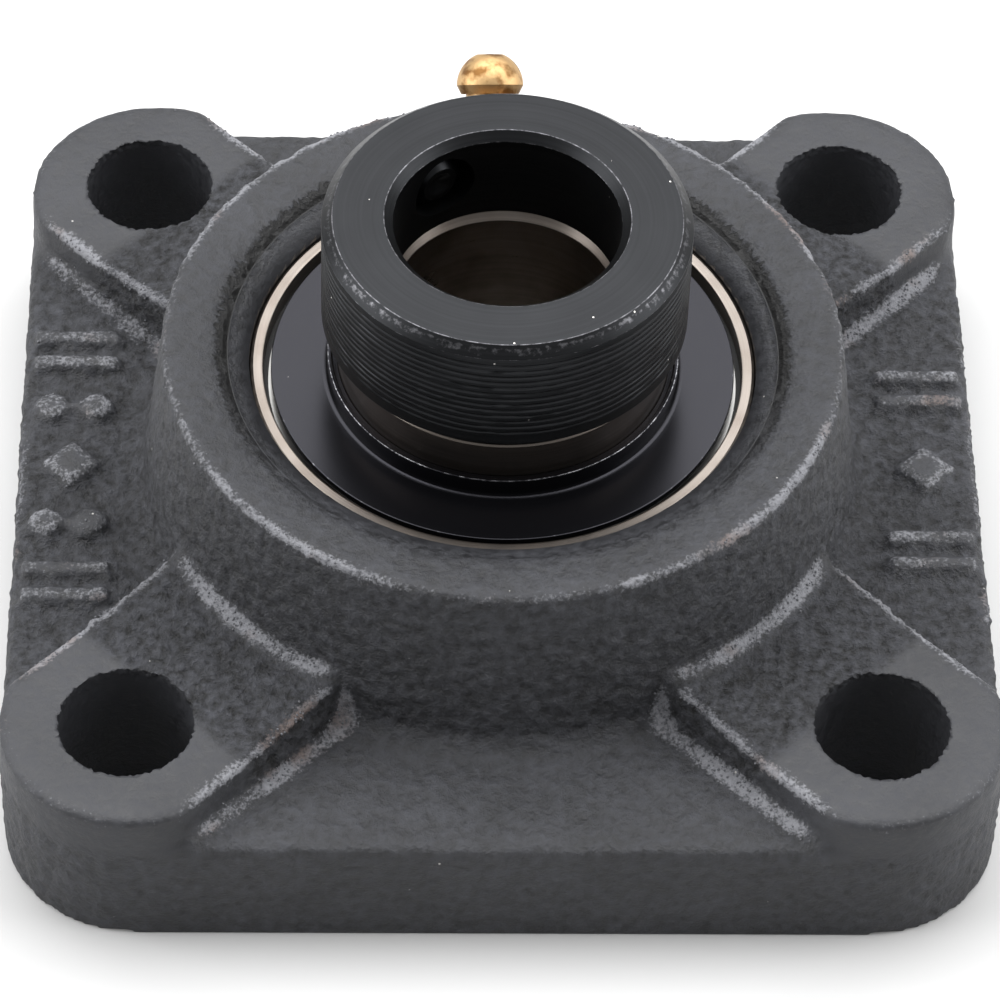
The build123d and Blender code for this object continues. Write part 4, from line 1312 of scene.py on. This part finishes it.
@dataclass
class GreaseFitting:
    """The brass nipple with its check ball and its spring."""

    frame: dict
    rack: Rack
    ball_joint: str = "check_ball_slide"
    ball_travel: float = 0.8

    def spring(self) -> bpy.types.Object:
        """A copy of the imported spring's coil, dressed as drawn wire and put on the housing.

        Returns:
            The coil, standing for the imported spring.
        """
        node, ball = (self.frame["nodes"][f"grease_fitting_{name}"] for name in ("spring", "ball"))
        coil = new_object("grease_fitting_spring_coil", node.data.copy())
        node.data.materials[0].name
        dress(coil, self.rack[Look.WIRE])
        joint = next(j for j in self.frame["joints"] if j["name"] == self.ball_joint)
        axis = Vector(joint["axis"]).normalized()
        coils, middle = (sum((v.co for v in piece.data.vertices), Vector()) / len(piece.data.vertices)
                         for piece in (node, ball))
        away = axis if (coils - middle).dot(axis) > 0 else -axis
        along = [v.co.dot(away) for v in coil.data.vertices]
        length = max(along) - min(along)
        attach(coil, "housing")
        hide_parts("grease_fitting_spring")
        1 - self.ball_travel * MM / length
        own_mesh(coil)
        return coil

    def build(self) -> None:
        """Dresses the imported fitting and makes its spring."""
        nodes = self.frame["nodes"]
        dress(nodes["grease_fitting_body"], self.rack[Look.BRASS])
        dress(nodes["grease_fitting_ball"], self.rack[Look.BALLS])
        log.info("spring: %d faces", len(self.spring().data.polygons))


# ---- Studio ---------------------------------------------------------------------------------


@dataclass
class Studio:
    """The pale floor, soft lights and the camera."""

    rack: Rack
    target: tuple[float, float, float] = (0.211, 0.0, 7.4)
    distance: float = 460.5
    elevation: float = 48.53
    azimuth: float = -2.34
    roll: float = 2.1
    lens: float = 184.5

    def floor(self) -> None:
        """A wide floor just under the flange."""
        shape = bmesh.new()
        bmesh.ops.create_grid(shape, x_segments=1, y_segments=1, size=3.0)
        mesh = bpy.data.meshes.new("floor")
        shape.to_mesh(mesh)
        shape.free()
        floor = new_object("floor", mesh)
        floor.location.z = -0.02 * MM
        dress(floor, self.rack[Look.FLOOR])

    def softbox(self, name: str, place: Vector, size: tuple[float, float], power: float) -> None:
        """A rectangular light that faces the object.

        Args:
            name: The light's name.
            place: Where it hangs, in metres.
            size: Its sides, in metres.
            power: Its power in watts.
        """
        light = bpy.data.lights.new(name, "AREA")
        light.shape = "RECTANGLE"
        light.size, light.size_y = size
        light.energy = power
        lamp = bpy.data.objects.new(name, light)
        lamp.location = place
        lamp.rotation_euler = place.to_track_quat("Z", "Y").to_euler()
        bpy.context.scene.collection.objects.link(lamp)

    def lights(self) -> None:
        """A wide ceiling box towards the rear, two side boxes and a dim even surround."""
        self.softbox("ceiling_box", Vector((0.0, 0.36, 0.94)), (1.7, 1.1), 25.0)
        self.softbox("left_box", Vector((-0.95, 0.0, 0.4)), (0.7, 0.9), 8.0)
        self.softbox("right_box", Vector((0.95, 0.0, 0.4)), (0.7, 0.9), 7.0)
        world = bpy.data.worlds.new("studio")
        world.use_nodes = True
        back = world.node_tree.nodes["Background"]
        back.inputs[0].default_value = linear("#ffffff")
        back.inputs[1].default_value = 0.4
        bpy.context.scene.world = world

    def camera(self) -> None:
        """The camera, long and slightly rolled."""
        up, turn, roll = (math.radians(a) for a in (self.elevation, self.azimuth, self.roll))
        back = Vector((math.sin(turn) * math.cos(up), -math.cos(turn) * math.cos(up), math.sin(up)))
        side = Vector((0, 0, 1)).cross(back).normalized()
        top = back.cross(side)
        right = math.cos(roll) * side + math.sin(roll) * top
        above = -math.sin(roll) * side + math.cos(roll) * top
        data = bpy.data.cameras.new("camera")
        data.sensor_width = 36.0
        data.lens = self.lens
        data.clip_start = 0.01
        camera = bpy.data.objects.new("camera", data)
        place = Matrix((right, above, back)).transposed().to_4x4()
        place.translation = (Vector(self.target) + self.distance * back) * MM
        camera.matrix_world = place
        bpy.context.scene.collection.objects.link(camera)
        bpy.context.scene.camera = camera

    def build(self) -> None:
        """Sets up the whole studio."""
        self.floor()
        self.lights()
        self.camera()
        bpy.context.scene.view_settings.view_transform = "Standard"


def main() -> None:
    """Builds every piece round the frame."""
    logging.basicConfig(level=logging.INFO, format="%(name)s: %(message)s")
    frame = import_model()
    rack = Rack()
    log.info("casting: %d faces", len(CastHousing(frame, rack).build().data.polygons))
    for piece in BearingInsert(frame, rack).build():
        log.info("%s: %d faces", piece.name, len(piece.data.polygons))
    log.info("collar: %d faces", len(LockingCollar(frame, rack).build().data.polygons))
    GreaseFitting(frame, rack).build()
    Studio(rack).build()


if __name__ == "__main__":
    main()
